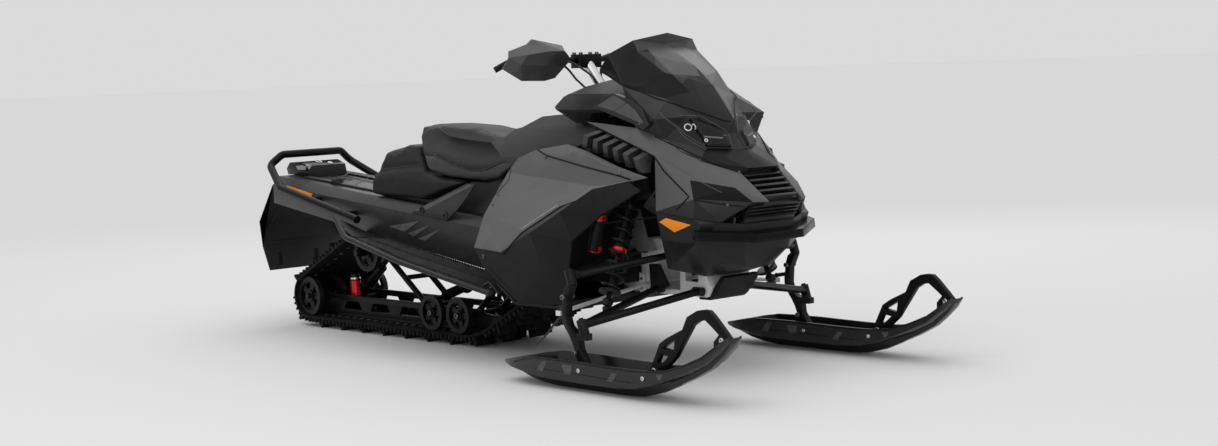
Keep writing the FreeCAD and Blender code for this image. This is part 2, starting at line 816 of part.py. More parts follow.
def chin_grille():
    """Lower grille behind the bumper: backing panel with fine slats."""
    outline = [(1297, 586), (1262, 536), (1258, 517), (1246, 517), (1250, 536), (1285, 586)]
    pieces = [side_prism(outline, -122, 122)]
    for step in range(4):
        z = 538 + step * 12
        x = 1262 + (z - 536) * 35 / 50
        pieces.append(side_prism([(x - 3, z), (x + 8, z), (x + 12, z + 5), (x + 1, z + 5)], -118, 118))
    return biggest(joined(pieces).cut(nose_pan()).cut(hood()))


def front_bumper():
    """Wide bumper bar: straight across the nose, swept back at each side."""
    sections = []
    for y, x, z in ((-285, 1208, 482), (-112, 1309, 466), (112, 1309, 466), (285, 1208, 482)):
        back = 58.0
        if abs(y) > 200:
            back = 32.0
        sections.append([(x, y, z - 6), (x - 4, y, z + 22), (x - back, y, z + 30), (x - back + 6, y, z - 2)])
    bar = joined([ruled(sections[i:i + 2]) for i in range(3)])
    return biggest(bar.cut(nose_pan()).cut(hood()))


def headlamp():
    """Left headlamp: slim lens unit seated on the hood's brow."""
    names = ("brow_out", "brow_in", "lamp_in", "lamp_out")
    corners = [vec(*hood_corners[n]) for n in names]
    middle = (corners[0] + corners[1] + corners[2] + corners[3]) * 0.25
    normal = (corners[1] - corners[0]).cross(corners[3] - corners[0])
    normal.normalize()
    if normal.x < 0:
        normal = normal * -1
    front = []
    for corner in corners:
        place = middle + (corner - middle) * 0.86 + normal * 12
        front.append((place.x, place.y, place.z))
    back = normal * -18

    def inward(corner):
        return (back.x, back.y, back.z)

    return skin(front, [[0, 3, 2, 1]], inward).cut(hood())


screen_corners = {
    "tip": (1112, 0, 858.2), "kink": (954, 160, 937.2), "rear": (820, 236, 982.2),
    "tail": (670, 204, 1038), "tail_top": (729, 218, 1093), "brow_low": (1015, 0, 976),
    "brow_high": (931, 0, 1044), "brim": (788, 0, 1123), "crown": (803, 0, 1161),
    "crown_out": (780, 144, 1138), "crease_top": (803, 144, 1098), "waist": (912, 127, 1025),
}

screen_facets = [
    ("tip", "kink", "brow_low"), ("kink", "waist", "brow_low"), ("brow_low", "waist", "brow_high"),
    ("waist", "crease_top", "brow_high"), ("brow_high", "crease_top", "brim"),
    ("brim", "crease_top", "crown_out", "crown"),
    ("kink", "rear", "waist"), ("rear", "crease_top", "waist"), ("rear", "tail_top", "crease_top"),
    ("rear", "tail", "tail_top"), ("tail_top", "crown_out", "crease_top"),
]


def windshield():
    """Smoked faceted windshield, a thin shell standing on the hood's edge."""

    def inward(corner):
        side = 0.0
        if corner[1] > 0.001:
            side = -0.6
        if corner[1] < -0.001:
            side = 0.6
        return (-0.6 * glass_wall, side * glass_wall, 0.0)

    return biggest(named_skin(screen_corners, screen_facets, inward).cut(hood()))


def side_inward(corner):
    return (0.0, -panel_wall, -panel_wall * 0.6)


side_corners = {
    "rear_top": (252, 240, 734), "top_a": (367, 252, 764), "top_b": (564, 272, 788),
    "top_c": (691, 302, 768), "top_d": (905, 344, 717), "tip": (1027, 336, 685),
    "crease_rear": (232, 272, 684), "crease_front": (800, 382, 655), "crease_tip": (895, 382, 663),
    "rear_mid": (176, 345, 536), "rear_low": (189, 410, 421), "low_a": (364, 430, 414),
    "low_b": (541, 440, 492), "low_c": (704, 440, 570), "low_d": (859, 430, 648), "low_e": (985, 380, 674),
}

side_facets = [
    ("rear_top", "crease_rear", "top_a"), ("top_a", "crease_rear", "crease_front", "top_b"),
    ("top_b", "crease_front", "top_c"), ("top_c", "crease_front", "crease_tip", "top_d"),
    ("top_d", "crease_tip", "tip"), ("crease_rear", "rear_mid", "crease_front"),
    ("rear_mid", "rear_low", "low_a"), ("rear_mid", "low_a", "low_b"), ("rear_mid", "low_b", "crease_front"),
    ("crease_front", "low_b", "low_c"), ("crease_front", "low_c", "low_d"),
    ("crease_front", "low_d", "crease_tip"), ("crease_tip", "low_d", "low_e"), ("crease_tip", "low_e", "tip"),
]


def one_side_skin(corners, facets, inward):
    names = list(corners)
    places = [tuple(map(float, corners[n])) for n in names]
    loops = [[names.index(n) for n in facet] for facet in facets]
    return skin(places, loops, inward)


def side_panel():
    """Left removable side panel with its long crease."""
    return one_side_skin(side_corners, side_facets, side_inward)


def belly_panel():
    """Left lower panel that wraps the footwell's front and the engine's side."""
    seam = 0.3
    corners = {
        "g": (1018, 360, 643), "h": (870, 405, 560), "i": (745, 428, 470), "j": (690, 424, 246),
        "k": (456, 432, 240), "l": (266, 430, 353), "m": (600, 436, 350),
    }
    shared = {"a": "rear_low", "b": "low_a", "c": "low_b", "d": "low_c", "e": "low_d", "f": "low_e"}
    for name, above in shared.items():
        x, y, z = side_corners[above]
        corners[name] = (x, y, z - seam)
    facets = [
        ("a", "l", "b"), ("b", "l", "k"), ("b", "k", "m"), ("b", "m", "c"), ("c", "m", "i"), ("c", "i", "d"),
        ("d", "i", "h"), ("d", "h", "e"), ("e", "h", "g", "f"), ("m", "k", "j"), ("m", "j", "i"),
    ]
    return one_side_skin(corners, facets, side_inward)


def belly_pan():
    """Tray under the engine, between the two lower panels."""
    start = tunnel_front
    end = frame_rear_x
    outline = [(start, 296), (430, 232), (700, 232), (end, 256), (end, 266), (698, 242), (434, 242), (start, 306)]
    lower = belly_panel()
    tray = side_prism(outline, -428, 428).cut(lower).cut(mirrored(lower))
    return biggest(tray)


def vent_lines(share):
    """Head and foot of one vent rib: the head is under the hood's side strip, the foot
    inside the side panel's top edge."""
    rear, middle, front = [vec(*hood_corners[name]) for name in ("low_a", "low_b", "low_c")]
    head = rear + (middle - rear) * (2 * share)
    if share > 0.5:
        head = middle + (front - middle) * (2 * share - 1)
    start, end = [vec(*side_corners[name]) for name in ("top_c", "top_d")]
    foot = start + (end - start) * (vent_foot_start + vent_foot_spread * share)
    head = head - vec(0, vent_head_inset, vent_head_drop)
    return head, foot - vec(0, vent_foot_inset + vent_foot_narrowing * share, 0)


def side_vent():
    """Left side vent: deep bent ribs that stand on a backing plate."""
    deep = vec(0, vent_depth, 0)
    corners = []
    for share in (0.0, vent_reach):
        head, foot = vent_lines(share)
        corners.append(tuple(head - deep))
        corners.append(tuple(foot - deep))

    def inward(corner):
        return (0.0, -panel_wall, -panel_wall * 0.5)

    pieces = [skin(corners, [[0, 1, 3], [0, 3, 2]], inward)]
    for step in range(louvre_count):
        head, foot = vent_lines(vent_reach * step / (louvre_count - 1))
        middle = (head + foot) * 0.5
        sections = []
        for place, rise in ((head, vec(0, 0, 0)), (middle, vec(*vent_bend)), (foot, vec(0, 0, 0))):
            front = place + rise
            root = place.y - vent_depth - panel_wall / 2
            sections.append([
                (front.x, front.y, front.z), (front.x + louvre_width, front.y + 2, front.z - 6),
                (front.x + louvre_width, root, front.z - 6), (front.x, root, front.z),
            ])
        pieces.append(joined([ruled(sections[i:i + 2]) for i in range(2)]))
    return biggest(joined(pieces).cut(hood()))


def engine():
    """Engine as one plain block at its place between the side panels."""
    return block((400, -215, 300), (frame_rear_x, 215, 585))


def front_frame():
    """Front bulkhead: folded box that carries the suspension arms and the nose."""
    rear = frame_rear_x
    half = frame_half_width
    outline = [(rear, 262), (1052, 262), (1074, 300), (1040, 372), (1000, 452), (rear + 18, 452), (rear, 400)]
    inner = [(rear + 18, 280), (1036, 280), (1052, 304), (1022, 366), (988, 434), (rear + 30, 434), (rear + 18, 392)]
    box = side_prism(outline, -half, half).cut(side_prism(inner, -half * 2, half * 2))
    windows = block((776, -200, 280), (930, 200, 395)).fuse(block((955, -200, 312), (1018, 200, 376)))
    walls = []
    for low, high in ((half - 8, half), (-half, -half + 8)):
        walls.append(side_prism(outline, low, high).cut(windows))
    brackets = pair(block((1030, 50, 382), (1236, 60, 404)))
    return biggest(joined([box] + walls + brackets).cut(nose_pan()))


def chin_skid():
    """Plastic skid cap under the bulkhead's front."""
    outline = [(1000, 261), (1052, 261), (1075, 300), (1108, 336), (1128, 330), (1070, 262), (1052, 250), (1000, 250)]
    return biggest(side_prism(outline, -84, 84).cut(nose_pan()))


def column_axis():
    foot = vec(column_foot[0], 0, column_foot[1])
    head = vec(bar_centre[0], 0, bar_centre[1])
    return foot, head, (head - foot).normalize()


def upper_frame():
    """Tubular frame from the bulkhead up to the bearing collar at the column's foot."""
    foot, head, axis = column_axis()
    cross = foot - axis * (column_radius + 6)
    legs = pair(rod((930, 90, 452 + 13), (cross.x, 50, cross.z), 13))
    bar = rod((cross.x, -62, cross.z), (cross.x, 62, cross.z), column_radius - 2)
    collar = Part.makeCylinder(column_radius + 11, 44, foot - axis * 14, axis)
    bore = Part.makeCylinder(column_radius + pin_clearance, 80, foot - axis * 1, axis)
    hangers = pair(rod((926, 90, 452 + 9), (1100, 100, 800), 9))
    return biggest(joined(legs + hangers + [bar, collar]).cut(bore).cut(hood()))


def column_room():
    """Space that the cover and the console leave around the column and its collar."""
    foot, head, axis = column_axis()
    collar = Part.makeCylinder(column_radius + 14, 66, foot - axis * 34, axis)
    cross = foot - axis * (column_radius + 6)
    bar = rod((cross.x, -70, cross.z), (cross.x, 70, cross.z), column_radius + 1)
    legs = pair(rod((930, 90, 452 + 13), (cross.x, 50, cross.z), 16))
    column = Part.makeCylinder(column_radius + 1, 320, foot, axis)
    return collar.multiFuse([bar, column] + legs)


def eye(centre, axis, half_height):
    a = vec(*centre) - axis * half_height
    ring = Part.makeCylinder(eye_radius, 2 * half_height, a, axis)
    bore = Part.makeCylinder(kingpin_pin_radius + pin_clearance, 4 * half_height, a - axis * half_height, axis)
    return ring, bore


def kingpin_axis():
    low = vec(kingpin_low[0], ski_y, kingpin_low[1])
    high = vec(kingpin_high[0], ski_y, kingpin_high[1])
    return low, high, (high - low).normalize()


def lower_arm():
    """Left lower suspension arm: two tubes from the bulkhead to one eye, with the
    shock absorber's seat on a web between them."""
    low, high, axis = kingpin_axis()
    ring, bore = eye((low.x, low.y, low.z), axis, eye_half_height)
    inner = frame_half_width + 15.5
    outer = ski_y - eye_radius + 6
    front = rod((1032, inner + 4, 283), (low.x + 4, outer, low.z + 1), arm_tube_radius)
    rear = rod((838, inner + 4, 283), (low.x - 4, outer, low.z + 1), arm_tube_radius)
    barrels = []
    for x in (1032.0, 838.0):
        barrels.append(rod((x - 20, inner, 283), (x + 20, inner, 283), 15))
    x, y, z = shock_foot
    web = rod((x + 72, y, z - 33), (x, y, z - 33), 9)
    seat = block((x - 13, y - 13, z - 38), (x + 13, y + 13, z - 14 - pin_clearance))
    return joined([ring, front, rear, web, seat] + barrels).cut(bore)


def upper_arm():
    """Left upper suspension arm, a V around the shock absorber."""
    low, high, axis = kingpin_axis()
    ring, bore = eye((high.x, high.y, high.z), axis, eye_half_height)
    inner = frame_half_width + 14.5
    outer = ski_y - eye_radius + 4
    front = rod((985, inner + 4, 417), (high.x + 12, outer - 8, high.z + 1), arm_tube_radius - 1)
    rear = rod((765, inner + 4, 417), (high.x - 12, outer - 8, high.z + 1), arm_tube_radius - 1)
    yoke = rod((high.x - 20, outer - 8, high.z + 1), (high.x + 20, outer - 8, high.z + 1), arm_tube_radius - 1)
    barrels = []
    for x in (985.0, 765.0):
        barrels.append(rod((x - 18, inner, 417), (x + 18, inner, 417), 14))
    return joined([ring, front, rear, yoke] + barrels).cut(bore)


def spindle():
    """Left spindle: forged leg from the upper joint down into the ski's saddle,
    with a lug for the lower joint."""
    low, high, axis = kingpin_axis()
    drop = eye_half_height + pin_clearance
    top = high - axis * (drop + 16)
    lug = low - axis * (drop + 16)
    half = leg_thickness / 2
    leg = side_prism([
        (top.x - 10, top.z + 8), (848, top.z - 4), (838, 309), (828, 250), (829, 215), (862, 173), (876, 150),
        (leg_foot_rear, 92), (leg_foot_rear, leg_foot_z), (leg_foot_front, leg_foot_z), (leg_foot_front, 92),
        (912, 128), (908, 160), (948, 162), (948, 184), (890, 184), (862, 205), (852, 235), (857, 290),
        (top.x + 8, top.z)],
        ski_y - half, ski_y + half)
    pads = []
    pins = []
    for place in (top, lug):
        pads.append(Part.makeCylinder(eye_radius, 16, place, axis))
        pins.append(Part.makeCylinder(kingpin_pin_radius, 16 + drop + eye_half_height + 6, place, axis))
    arm, stop = steering_arm()
    return joined([leg] + pads + [arm] + pins)


def steering_arm():
    """Left steering arm, forged backward from the spindle, and the place of its ball."""
    low, high, axis = kingpin_axis()
    backward = vec(-axis.z, 0, axis.x)
    end = low + axis * steering_arm_rise + backward * steering_arm_length
    stop = vec(end.x, ski_y - steering_arm_inset, end.z)
    arm = rod((850, ski_y, end.z + 10), (stop.x, stop.y, stop.z), 7.5)
    return joined([arm, Part.makeSphere(tie_rod_ball, stop)]), stop


def tie_rods():
    """Both tie rods and the centre link that drives them."""
    arm, end = steering_arm()
    eye_half = tie_rod_radius + 1
    low = end.z - tie_rod_ball - rod_gap - eye_half
    y, z = tie_rod_inner
    pieces = [cross_rod(end.x, z, -y, y, tie_rod_radius)]
    for side in (-1, 1):
        pieces.append(rod((end.x, side * y, z), (end.x, side * end.y, low), tie_rod_radius))
        pieces.append(Part.makeSphere(tie_rod_radius + 1, vec(end.x, side * y, z)))
        eye_floor = vec(end.x, side * end.y, low - eye_half)
        pieces.append(Part.makeCylinder(tie_rod_ball + 4, 2 * eye_half, eye_floor))
    return joined(pieces)


def front_shock():
    """Left front shock: body, shaft, two spring seats and a remote reservoir."""
    top = vec(*shock_top)
    foot = vec(*shock_foot)
    axis = (foot - top).normalize()
    length = (foot - top).Length
    body = Part.makeCylinder(shock_body_radius, 200, top, axis)
    shaft = Part.makeCylinder(9, length - 8, top, axis)
    seat_a = Part.makeCylinder(spring_radius + spring_wire, 10, top + axis * 50, axis)
    seat_b = Part.makeCylinder(spring_radius + spring_wire, 10, top + axis * (length - 40), axis)
    ring = rod((foot.x - 13, foot.y, foot.z), (foot.x + 13, foot.y, foot.z), 14)
    tank = rod(reservoir_top, reservoir_foot, 24)
    bridge = rod((top.x, top.y, top.z - 6), (reservoir_top[0], reservoir_top[1], reservoir_top[2] - 8), 12)
    mount = rod((top.x, top.y - 34, top.z + 2), (top.x, top.y + 18, top.z + 2), 15)
    return joined([body, shaft, seat_a, seat_b, tank, bridge, mount, ring])


def front_spring():
    """Left front coil spring between its two seats."""
    top = vec(*shock_top)
    foot = vec(*shock_foot)
    axis = (foot - top).normalize()
    first = 60 + spring_wire + pin_clearance
    last = (foot - top).Length - 40 - spring_wire - pin_clearance
    height = last - first
    pitch = height / spring_turns
    path = Part.Wire(Part.makeHelix(pitch, height, spring_radius))
    start = vec(spring_radius, 0, 0)
    heading = vec(0, 2 * math.pi * spring_radius, pitch)
    ring = Part.Wire(Part.makeCircle(spring_wire, start, heading))
    coil = path.makePipeShell([ring], True, True)
    coil.Placement = FreeCAD.Placement(top + axis * first, FreeCAD.Rotation(vec(0, 0, 1), axis))
    return coil


def rail_shafts():
    """Cross shafts between the two rails, and the front arm's shaft in the tunnel."""
    reach = rail_y - rail_thickness / 2
    shafts = [cross_rod(x, z, -reach, reach, shaft_radius) for x, z in rail_shaft_places]
    wall = tunnel_half_width - tunnel_wall
    shafts.append(cross_rod(arm_head[0], arm_head[1], -wall, wall, shaft_radius))
    return shafts


def link_arm(low, high, low_bore, high_bore, y):
    """Two tubes side by side between two cross shafts, tied by one cross tube."""
    pieces = []
    bores = []
    for side in (-1, 1):
        pieces.append(rod((low[0], side * y, low[1]), (high[0], side * y, high[1]), 12))
        for place, bore in ((low, low_bore), (high, high_bore)):
            pieces.append(cross_rod(place[0], place[1], side * y - 15, side * y + 15, bore + 9))
    for place, bore in ((low, low_bore), (high, high_bore)):
        bores.append(cross_rod(place[0], place[1], -y - 60, y + 60, bore + pin_clearance))
    middle = ((low[0] + high[0]) / 2, (low[1] + high[1]) / 2)
    pieces.append(cross_rod(middle[0], middle[1], -y, y, 10))
    return joined(pieces).cut(bores[0]).cut(bores[1])


def rear_arm():
    """Rear suspension arm from the rails up to the idler axle."""
    return link_arm(rail_shaft_places[1], (idler_x, idler_z), shaft_radius, 14, 64)


def front_arm():
    """Front suspension arm from the rails up to its shaft in the tunnel."""
    return link_arm(rail_shaft_places[2], arm_head, shaft_radius, shaft_radius, 60)


def shock_between(low, high, low_bore, high_bore, body, start):
    """A track shock between two cross shafts."""
    a = vec(low[0], 0, low[1])
    b = vec(high[0], 0, high[1])
    axis = (b - a).normalize()
    length = (b - a).Length
    pieces = [Part.makeCylinder(10, length, a, axis)]
    pieces.append(Part.makeCylinder(body, length * 0.56, a + axis * start, axis))
    pieces.append(Part.makeCylinder(body + 9, 9, a + axis * (start + length * 0.2), axis))
    for place, bore in ((low, low_bore), (high, high_bore)):
        pieces.append(cross_rod(place[0], place[1], -13, 13, bore + 9))
    whole = joined(pieces)
    for place, bore in ((low, low_bore), (high, high_bore)):
        whole = whole.cut(cross_rod(place[0], place[1], -60, 60, bore + pin_clearance))
    return whole


def track_shocks():
    """Rear shock with its upright reservoir, and the shorter centre shock."""
    rear = shock_between(rail_shaft_places[0], (idler_x, idler_z), shaft_radius, 14, 22, 26.0)
    x, z = rail_shaft_places[0]
    tank = rod((x + 46, -44, z - 6), (x + 40, -44, z + 104), 21)
    neck = rod((x + 50, -44, z + 48), (x + 70, 0, z + 50), 10)
    centre = shock_between(rail_shaft_places[3], arm_head, shaft_radius, shaft_radius, 20, 130.0)
    return [joined([rear, tank, neck]), centre]


def handlebar():
    """Handlebar with a raised centre and hooked outer ends."""
    x, z = bar_centre
    half = [(x, 60.0, z), (x - 6, 120.0, z + 14), (x - 44, 330.0, z + 4), (x - 72, 372.0, z - 22)]
    route = [(px, -py, pz) for px, py, pz in reversed(half)] + half
    return tube(route, bar_radius, 26)


def grip():
    """Left grip, a sleeve on the handlebar."""
    x, z = bar_centre
    a = vec(x - 6, 120.0, z + 14)
    b = vec(x - 44, 330.0, z + 4)
    along = (b - a).normalize()
    start = a + along * 84
    sleeve = Part.makeCylinder(grip_radius, 112, start, along)
    return sleeve.cut(Part.makeCylinder(bar_radius, 200, start - along * 20, along))


def riser():
    """Steering column and riser block under the bar clamps."""
    foot, head, axis = column_axis()
    post = Part.makeCylinder(column_radius, (head - foot).Length - bar_radius - 4, foot, axis)
    width = block((bar_centre[0] - 26, -52, bar_centre[1] - 26), (bar_centre[0] + 26, 52, bar_centre[1] + 24))
    return joined([post, width]).cut(handlebar())


def control_cable(route):
    """One cable held by the handlebar: along the bar, down beside the column, into the console's well."""
    x, z = bar_centre
    return tube([(x + forward, y, z + up) for forward, y, up in route], cable_radius, cable_bend)


def control_cables():
    rear = control_cable([(-18, 187, -4.4), (-8, 128, -2), (-13, 80, -25), (10, 62, -65), (35, 44, -95),
                          (92, 26, -140)])
    front = control_cable([(5.2, 138, 7.9), (10, 105, 5.3), (50, 80, -20), (97, 60, -55), (103, 42, -90),
                           (118, 28, -124)])
    return pair(rear) + pair(front)


def handguard():
    """Left hand guard: a clear upper and lower pane with a moulded band between them."""
    corners = {
        "top_a": (407, 387, 1118), "top_b": (425, 320, 1140), "top_c": (431, 301, 1157),
        "top_d": (462, 190, 1132),
        "band_a": (413, 393, 1095), "band_b": (453, 340, 1103), "band_c": (477, 254, 1113),
        "band_d": (491, 202, 1111), "inner_high": (495, 188, 1093), "inner_low": (494, 194, 1068),
        "under_a": (399, 413, 1057), "under_b": (445, 369, 1068), "under_c": (462, 308, 1064),
        "under_d": (487, 218, 1060), "foot_a": (419, 342, 1012), "foot_b": (442, 259, 1009),
        "foot_c": (453, 221, 1018),
    }
    facets = [
        ("top_a", "top_b", "band_b", "band_a"), ("top_b", "top_c", "band_c", "band_b"),
        ("top_c", "top_d", "band_d", "band_c"),
        ("band_a", "band_b", "under_b"), ("band_a", "under_b", "under_a"),
        ("band_b", "band_c", "under_c", "under_b"), ("band_c", "band_d", "inner_high"),
        ("band_c", "inner_high", "inner_low"), ("band_c", "inner_low", "under_d"),
        ("band_c", "under_d", "under_c"),
        ("under_a", "under_b", "foot_a"), ("under_b", "under_c", "foot_b", "foot_a"),
        ("under_c", "under_d", "foot_c", "foot_b"), ("under_d", "inner_low", "foot_c"),
    ]

    def inward(corner):
        return (-guard_wall, 0.0, 0.0)

    shell = one_side_skin(corners, facets, inward)
    x, z = bar_centre
    mount = rod((x - 8, 150.0, z + 13), (x + 109, 204.0, z + 10), guard_mount_radius)
    return joined([shell, mount]).cut(handlebar())


ski_stations = [
    # station, keel bottom, sole edge, top of the side walls, half width
    (556.0, 50.0, 56.0, 72.0, 40.0),
    (600.0, 36.0, 47.0, 80.0, 54.0),
    (655.0, 18.0, 42.0, 91.0, 65.0),
    (722.0, 6.0, 35.0, 101.0, 71.0),
    (800.0, 0.0, 30.0, 103.0, 72.0),
    (932.0, 0.0, 28.0, 104.0, 72.0),
    (1130.0, 0.0, 29.0, 101.0, 72.0),
    (1220.0, 6.0, 36.0, 101.0, 72.0),
    (1300.0, 27.0, 54.0, 102.0, 71.0),
    (1373.0, 56.0, 78.0, 112.0, 69.0),
    (1450.0, 88.0, 105.0, 136.0, 65.0),
    (1520.0, 124.0, 138.0, 165.0, 58.0),
    (1575.0, 171.0, 181.0, 203.0, 48.0),
    (1606.0, 208.0, 213.0, 226.0, 34.0),
]


def ski():
    """Left ski: a trough with a keel, upturned at the tip and swept up at the tail."""
    sections = []
    scale = ski_width / 144.0
    for x, keel, sole, top, half in ski_stations:
        half = half * scale
        wall = min(ski_wall, half * 0.3)
        floor = min(sole + 12, top - 3)
        k = min(keel_width / 2, half * 0.35)
        left = [(half, top), (half, sole + 6), (half - 14, sole), (k + 4, sole), (k, keel)]
        ring = [(x, ski_y + y, z) for y, z in left]
        ring += [(x, ski_y - y, z) for y, z in reversed(left)]
        ring += [(x, ski_y - half + wall, top), (x, ski_y - half + wall + 4, floor),
                 (x, ski_y + half - wall - 4, floor), (x, ski_y + half - wall, top)]
        sections.append(ring)
    body = joined([ruled(sections[i:i + 2]) for i in range(len(sections) - 1)])
    saddle = side_prism([(862, 38), (962, 38), (958, 82), (866, 82)], ski_y - 36, ski_y + 36)
    rear = leg_foot_rear - leg_seat_gap
    front = leg_foot_front + leg_seat_gap
    floor = leg_foot_z - leg_seat_gap
    slot = side_prism([(rear, floor), (front, floor), (front, 120), (rear, 120)],
                      ski_y - leg_thickness / 2 - leg_seat_gap, ski_y + leg_thickness / 2 + leg_seat_gap)
    return joined([body, saddle]).cut(slot)


def ski_handle():
    """Left ski's grab loop, a flat moulded hoop with two windows in its rear leg."""
    outline = [(1242, 40), (1236, 84), (1288, 181), (1319, 200), (1392, 233), (1414, 274), (1460, 297), (1485, 301),
               (1510, 300), (1534, 281), (1572, 244), (1600, 216), (1604, 204), (1576, 190), (1527, 184),
               (1527, 205), (1550, 229), (1523, 249), (1494, 269), (1469, 266), (1438, 248), (1359, 142),
               (1316, 106), (1300, 60)]
    hoop = side_prism(outline, ski_y - 10, ski_y + 10)
    upper = side_prism([(1300, 168), (1357, 198), (1350, 160)], ski_y - 20, ski_y + 20)
    lower = side_prism([(1276, 120), (1291, 148), (1326, 143), (1290, 114)], ski_y - 20, ski_y + 20)
    return biggest(hoop.cut(upper).cut(lower).cut(ski()))


def save(name, shapes, shift):
    solids = []
    for shape in shapes:
        solids += shape.Solids
    whole = Part.makeCompound(solids)
    if len(solids) == 1:
        whole = solids[0]
    whole.translated(vec(shift, 0, 0)).exportStep("parts/" + name + ".step")


def reflectors():
    """Amber side reflectors on the nose and on the tunnel's rear."""
    a, b, c = [vec(*pan_corners[name]) for name in ("rear_top", "out_top", "rear_mid")]
    normal = (b - a).cross(c - a).normalize()
    if normal.y < 0:
        normal = normal * -1
    lift = normal * (reflector_thickness + panel_gap) - vec(0, 0, panel_gap)
    outer = []
    for along, down in ((0.05, 0.34), (0.42, 0.61), (0.91, 0.22), (0.25, 0.15)):
        place = a + (b - a) * along + (c - a) * down + lift
        outer.append((place.x, place.y, place.z))

    def inward(corner):
        back = normal * -reflector_thickness
        return (back.x, back.y, back.z)

    front = skin(outer, [[0, 1, 2, 3]], inward)
    w = tunnel_half_width
    rear = side_prism([(-1330, 590), (-1318, 597), (-1130, 566), (-1142, 551), (-1300, 572)], w, w + 5)
    return [rear, front]


def wheels_on_belt():
    return mid_wheels() + [upper_idlers()]


def track_suspension():
    return rail_shafts() + [rear_arm(), front_arm()]


def main():
    os.makedirs("parts", exist_ok=True)
    leg = spindle()
    left_ski = ski()
    loop = ski_handle()
    pieces = {
        "track": [track()],
        "slide_rails": [rail(rail_y), rail(-rail_y)],
        "rail_shoes": [slider(rail_y), slider(-rail_y)],
        "rear_axle_wheels": [rear_axle()],
        "idler_wheels": wheels_on_belt(),
        "drive_axle": [drive_axle()],
        "track_suspension": track_suspension(),
        "track_shocks": track_shocks(),
        "tunnel": [tunnel()],
        "footboards": pair(footboard()),
        "snow_flap": [snow_flap()],
        "rear_bumper": [rear_bumper()],
        "tail_lamp": [tail_lamp()],
        "deck_rack": deck_rack(),
        "under_seat": [under_seat()],
        "side_braces": pair(side_brace()),
        "seat": [seat_shape()],
        "storage_bag": [bag_shape().cut(seat_shape())],
        "tank_cover": [tank_cover()],
        "console": [console()] + pair(dash_panel()),
        "hood": [hood()],
        "nose_pan": [nose_pan()],
        "grilles": [grille(), chin_grille()],
        "front_bumper": [front_bumper()],
        "headlamps": pair(headlamp()),
        "windshield": [windshield()],
        "side_panels": pair(side_panel()),
        "belly_panels": pair(belly_panel()) + [belly_pan()],
        "side_vents": pair(side_vent()),
        "reflectors": reflectors() + [mirrored(piece) for piece in reflectors()],
        "engine_block": [engine()],
        "front_frame": [front_frame()],
        "chin_skid": [chin_skid()],
        "upper_frame": [upper_frame()],
        "lower_arms": pair(lower_arm()),
        "upper_arms": pair(upper_arm()),
        "front_shocks": pair(front_shock()),
        "front_springs": pair(front_spring()),
        "spindle_left": [leg],
        "spindle_right": [mirrored(leg)],
        "ski_left": [left_ski],
        "ski_right": [mirrored(left_ski)],
        "ski_handle_left": [loop],
        "ski_handle_right": [mirrored(loop)],
        "tie_rods": [tie_rods()],
        "handlebar": [handlebar()],
        "grips": pair(grip()),
        "steering_riser": [riser()],
        "control_cables": control_cables(),
        "handguards": pair(handguard()),
    }
    rear_end = min(shape.BoundBox.XMin for shape in pieces["snow_flap"])
    front_end = max(shape.BoundBox.XMax for shape in pieces["ski_left"])
    shift = -(rear_end + front_end) / 2
    for name, shapes in pieces.items():
        save(name, shapes, shift)
        volume = sum(shape.Volume for shape in shapes)
        print(name, len(shapes), round(volume / 1000.0, 1), all(shape.isValid() for shape in shapes))
    print("shift", shift)


main()
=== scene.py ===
import json
from math import cos, hypot, pi, radians, sin

import bmesh
import bpy
from mathutils import Matrix, Vector
from mathutils.bvhtree import BVHTree
from mathutils.geometry import intersect_point_tri


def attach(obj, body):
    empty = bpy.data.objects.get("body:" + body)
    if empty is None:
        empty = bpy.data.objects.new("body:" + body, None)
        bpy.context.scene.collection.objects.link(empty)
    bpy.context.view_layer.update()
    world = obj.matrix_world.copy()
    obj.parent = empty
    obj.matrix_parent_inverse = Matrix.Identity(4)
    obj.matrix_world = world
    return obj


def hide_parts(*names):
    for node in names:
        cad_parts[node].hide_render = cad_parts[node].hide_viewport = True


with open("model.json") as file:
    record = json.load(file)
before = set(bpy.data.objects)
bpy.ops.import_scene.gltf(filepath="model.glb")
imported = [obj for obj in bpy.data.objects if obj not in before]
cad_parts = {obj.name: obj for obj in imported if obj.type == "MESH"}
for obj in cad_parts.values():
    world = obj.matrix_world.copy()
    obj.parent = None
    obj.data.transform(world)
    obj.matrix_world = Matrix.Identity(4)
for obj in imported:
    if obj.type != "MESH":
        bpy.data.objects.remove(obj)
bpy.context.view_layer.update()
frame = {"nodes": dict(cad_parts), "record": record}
solids = frame["nodes"]
scene = bpy.context.scene

# Studio.
# A pale floor that runs into a plain soft sky, brighter overhead, with a long
# weak light behind the machine and one over its side, and the photo's camera.
scene.view_settings.view_transform = "Standard"

camera_place = Vector((5.655, -4.742, 1.072))
camera_yaw = radians(42.28)
camera_pitch = radians(4.76)
camera_roll = radians(-2.16)
forward = Vector((-cos(camera_yaw) * cos(camera_pitch), sin(camera_yaw) * cos(camera_pitch),
                  -sin(camera_pitch)))
level = Vector((sin(camera_yaw), cos(camera_yaw), 0))
upward = level.cross(forward)
across = level * cos(camera_roll) + upward * sin(camera_roll)
upright = upward * cos(camera_roll) - level * sin(camera_roll)
turn = Matrix((across, upright, -forward)).transposed().to_4x4()
view_data = bpy.data.cameras.new("camera")
view_data.lens = 57.59
view_data.sensor_width = 36
view_data.clip_end = 200
viewer = bpy.data.objects.new("camera", view_data)
viewer.matrix_world = Matrix.Translation(camera_place) @ turn
scene.collection.objects.link(viewer)
scene.camera = viewer

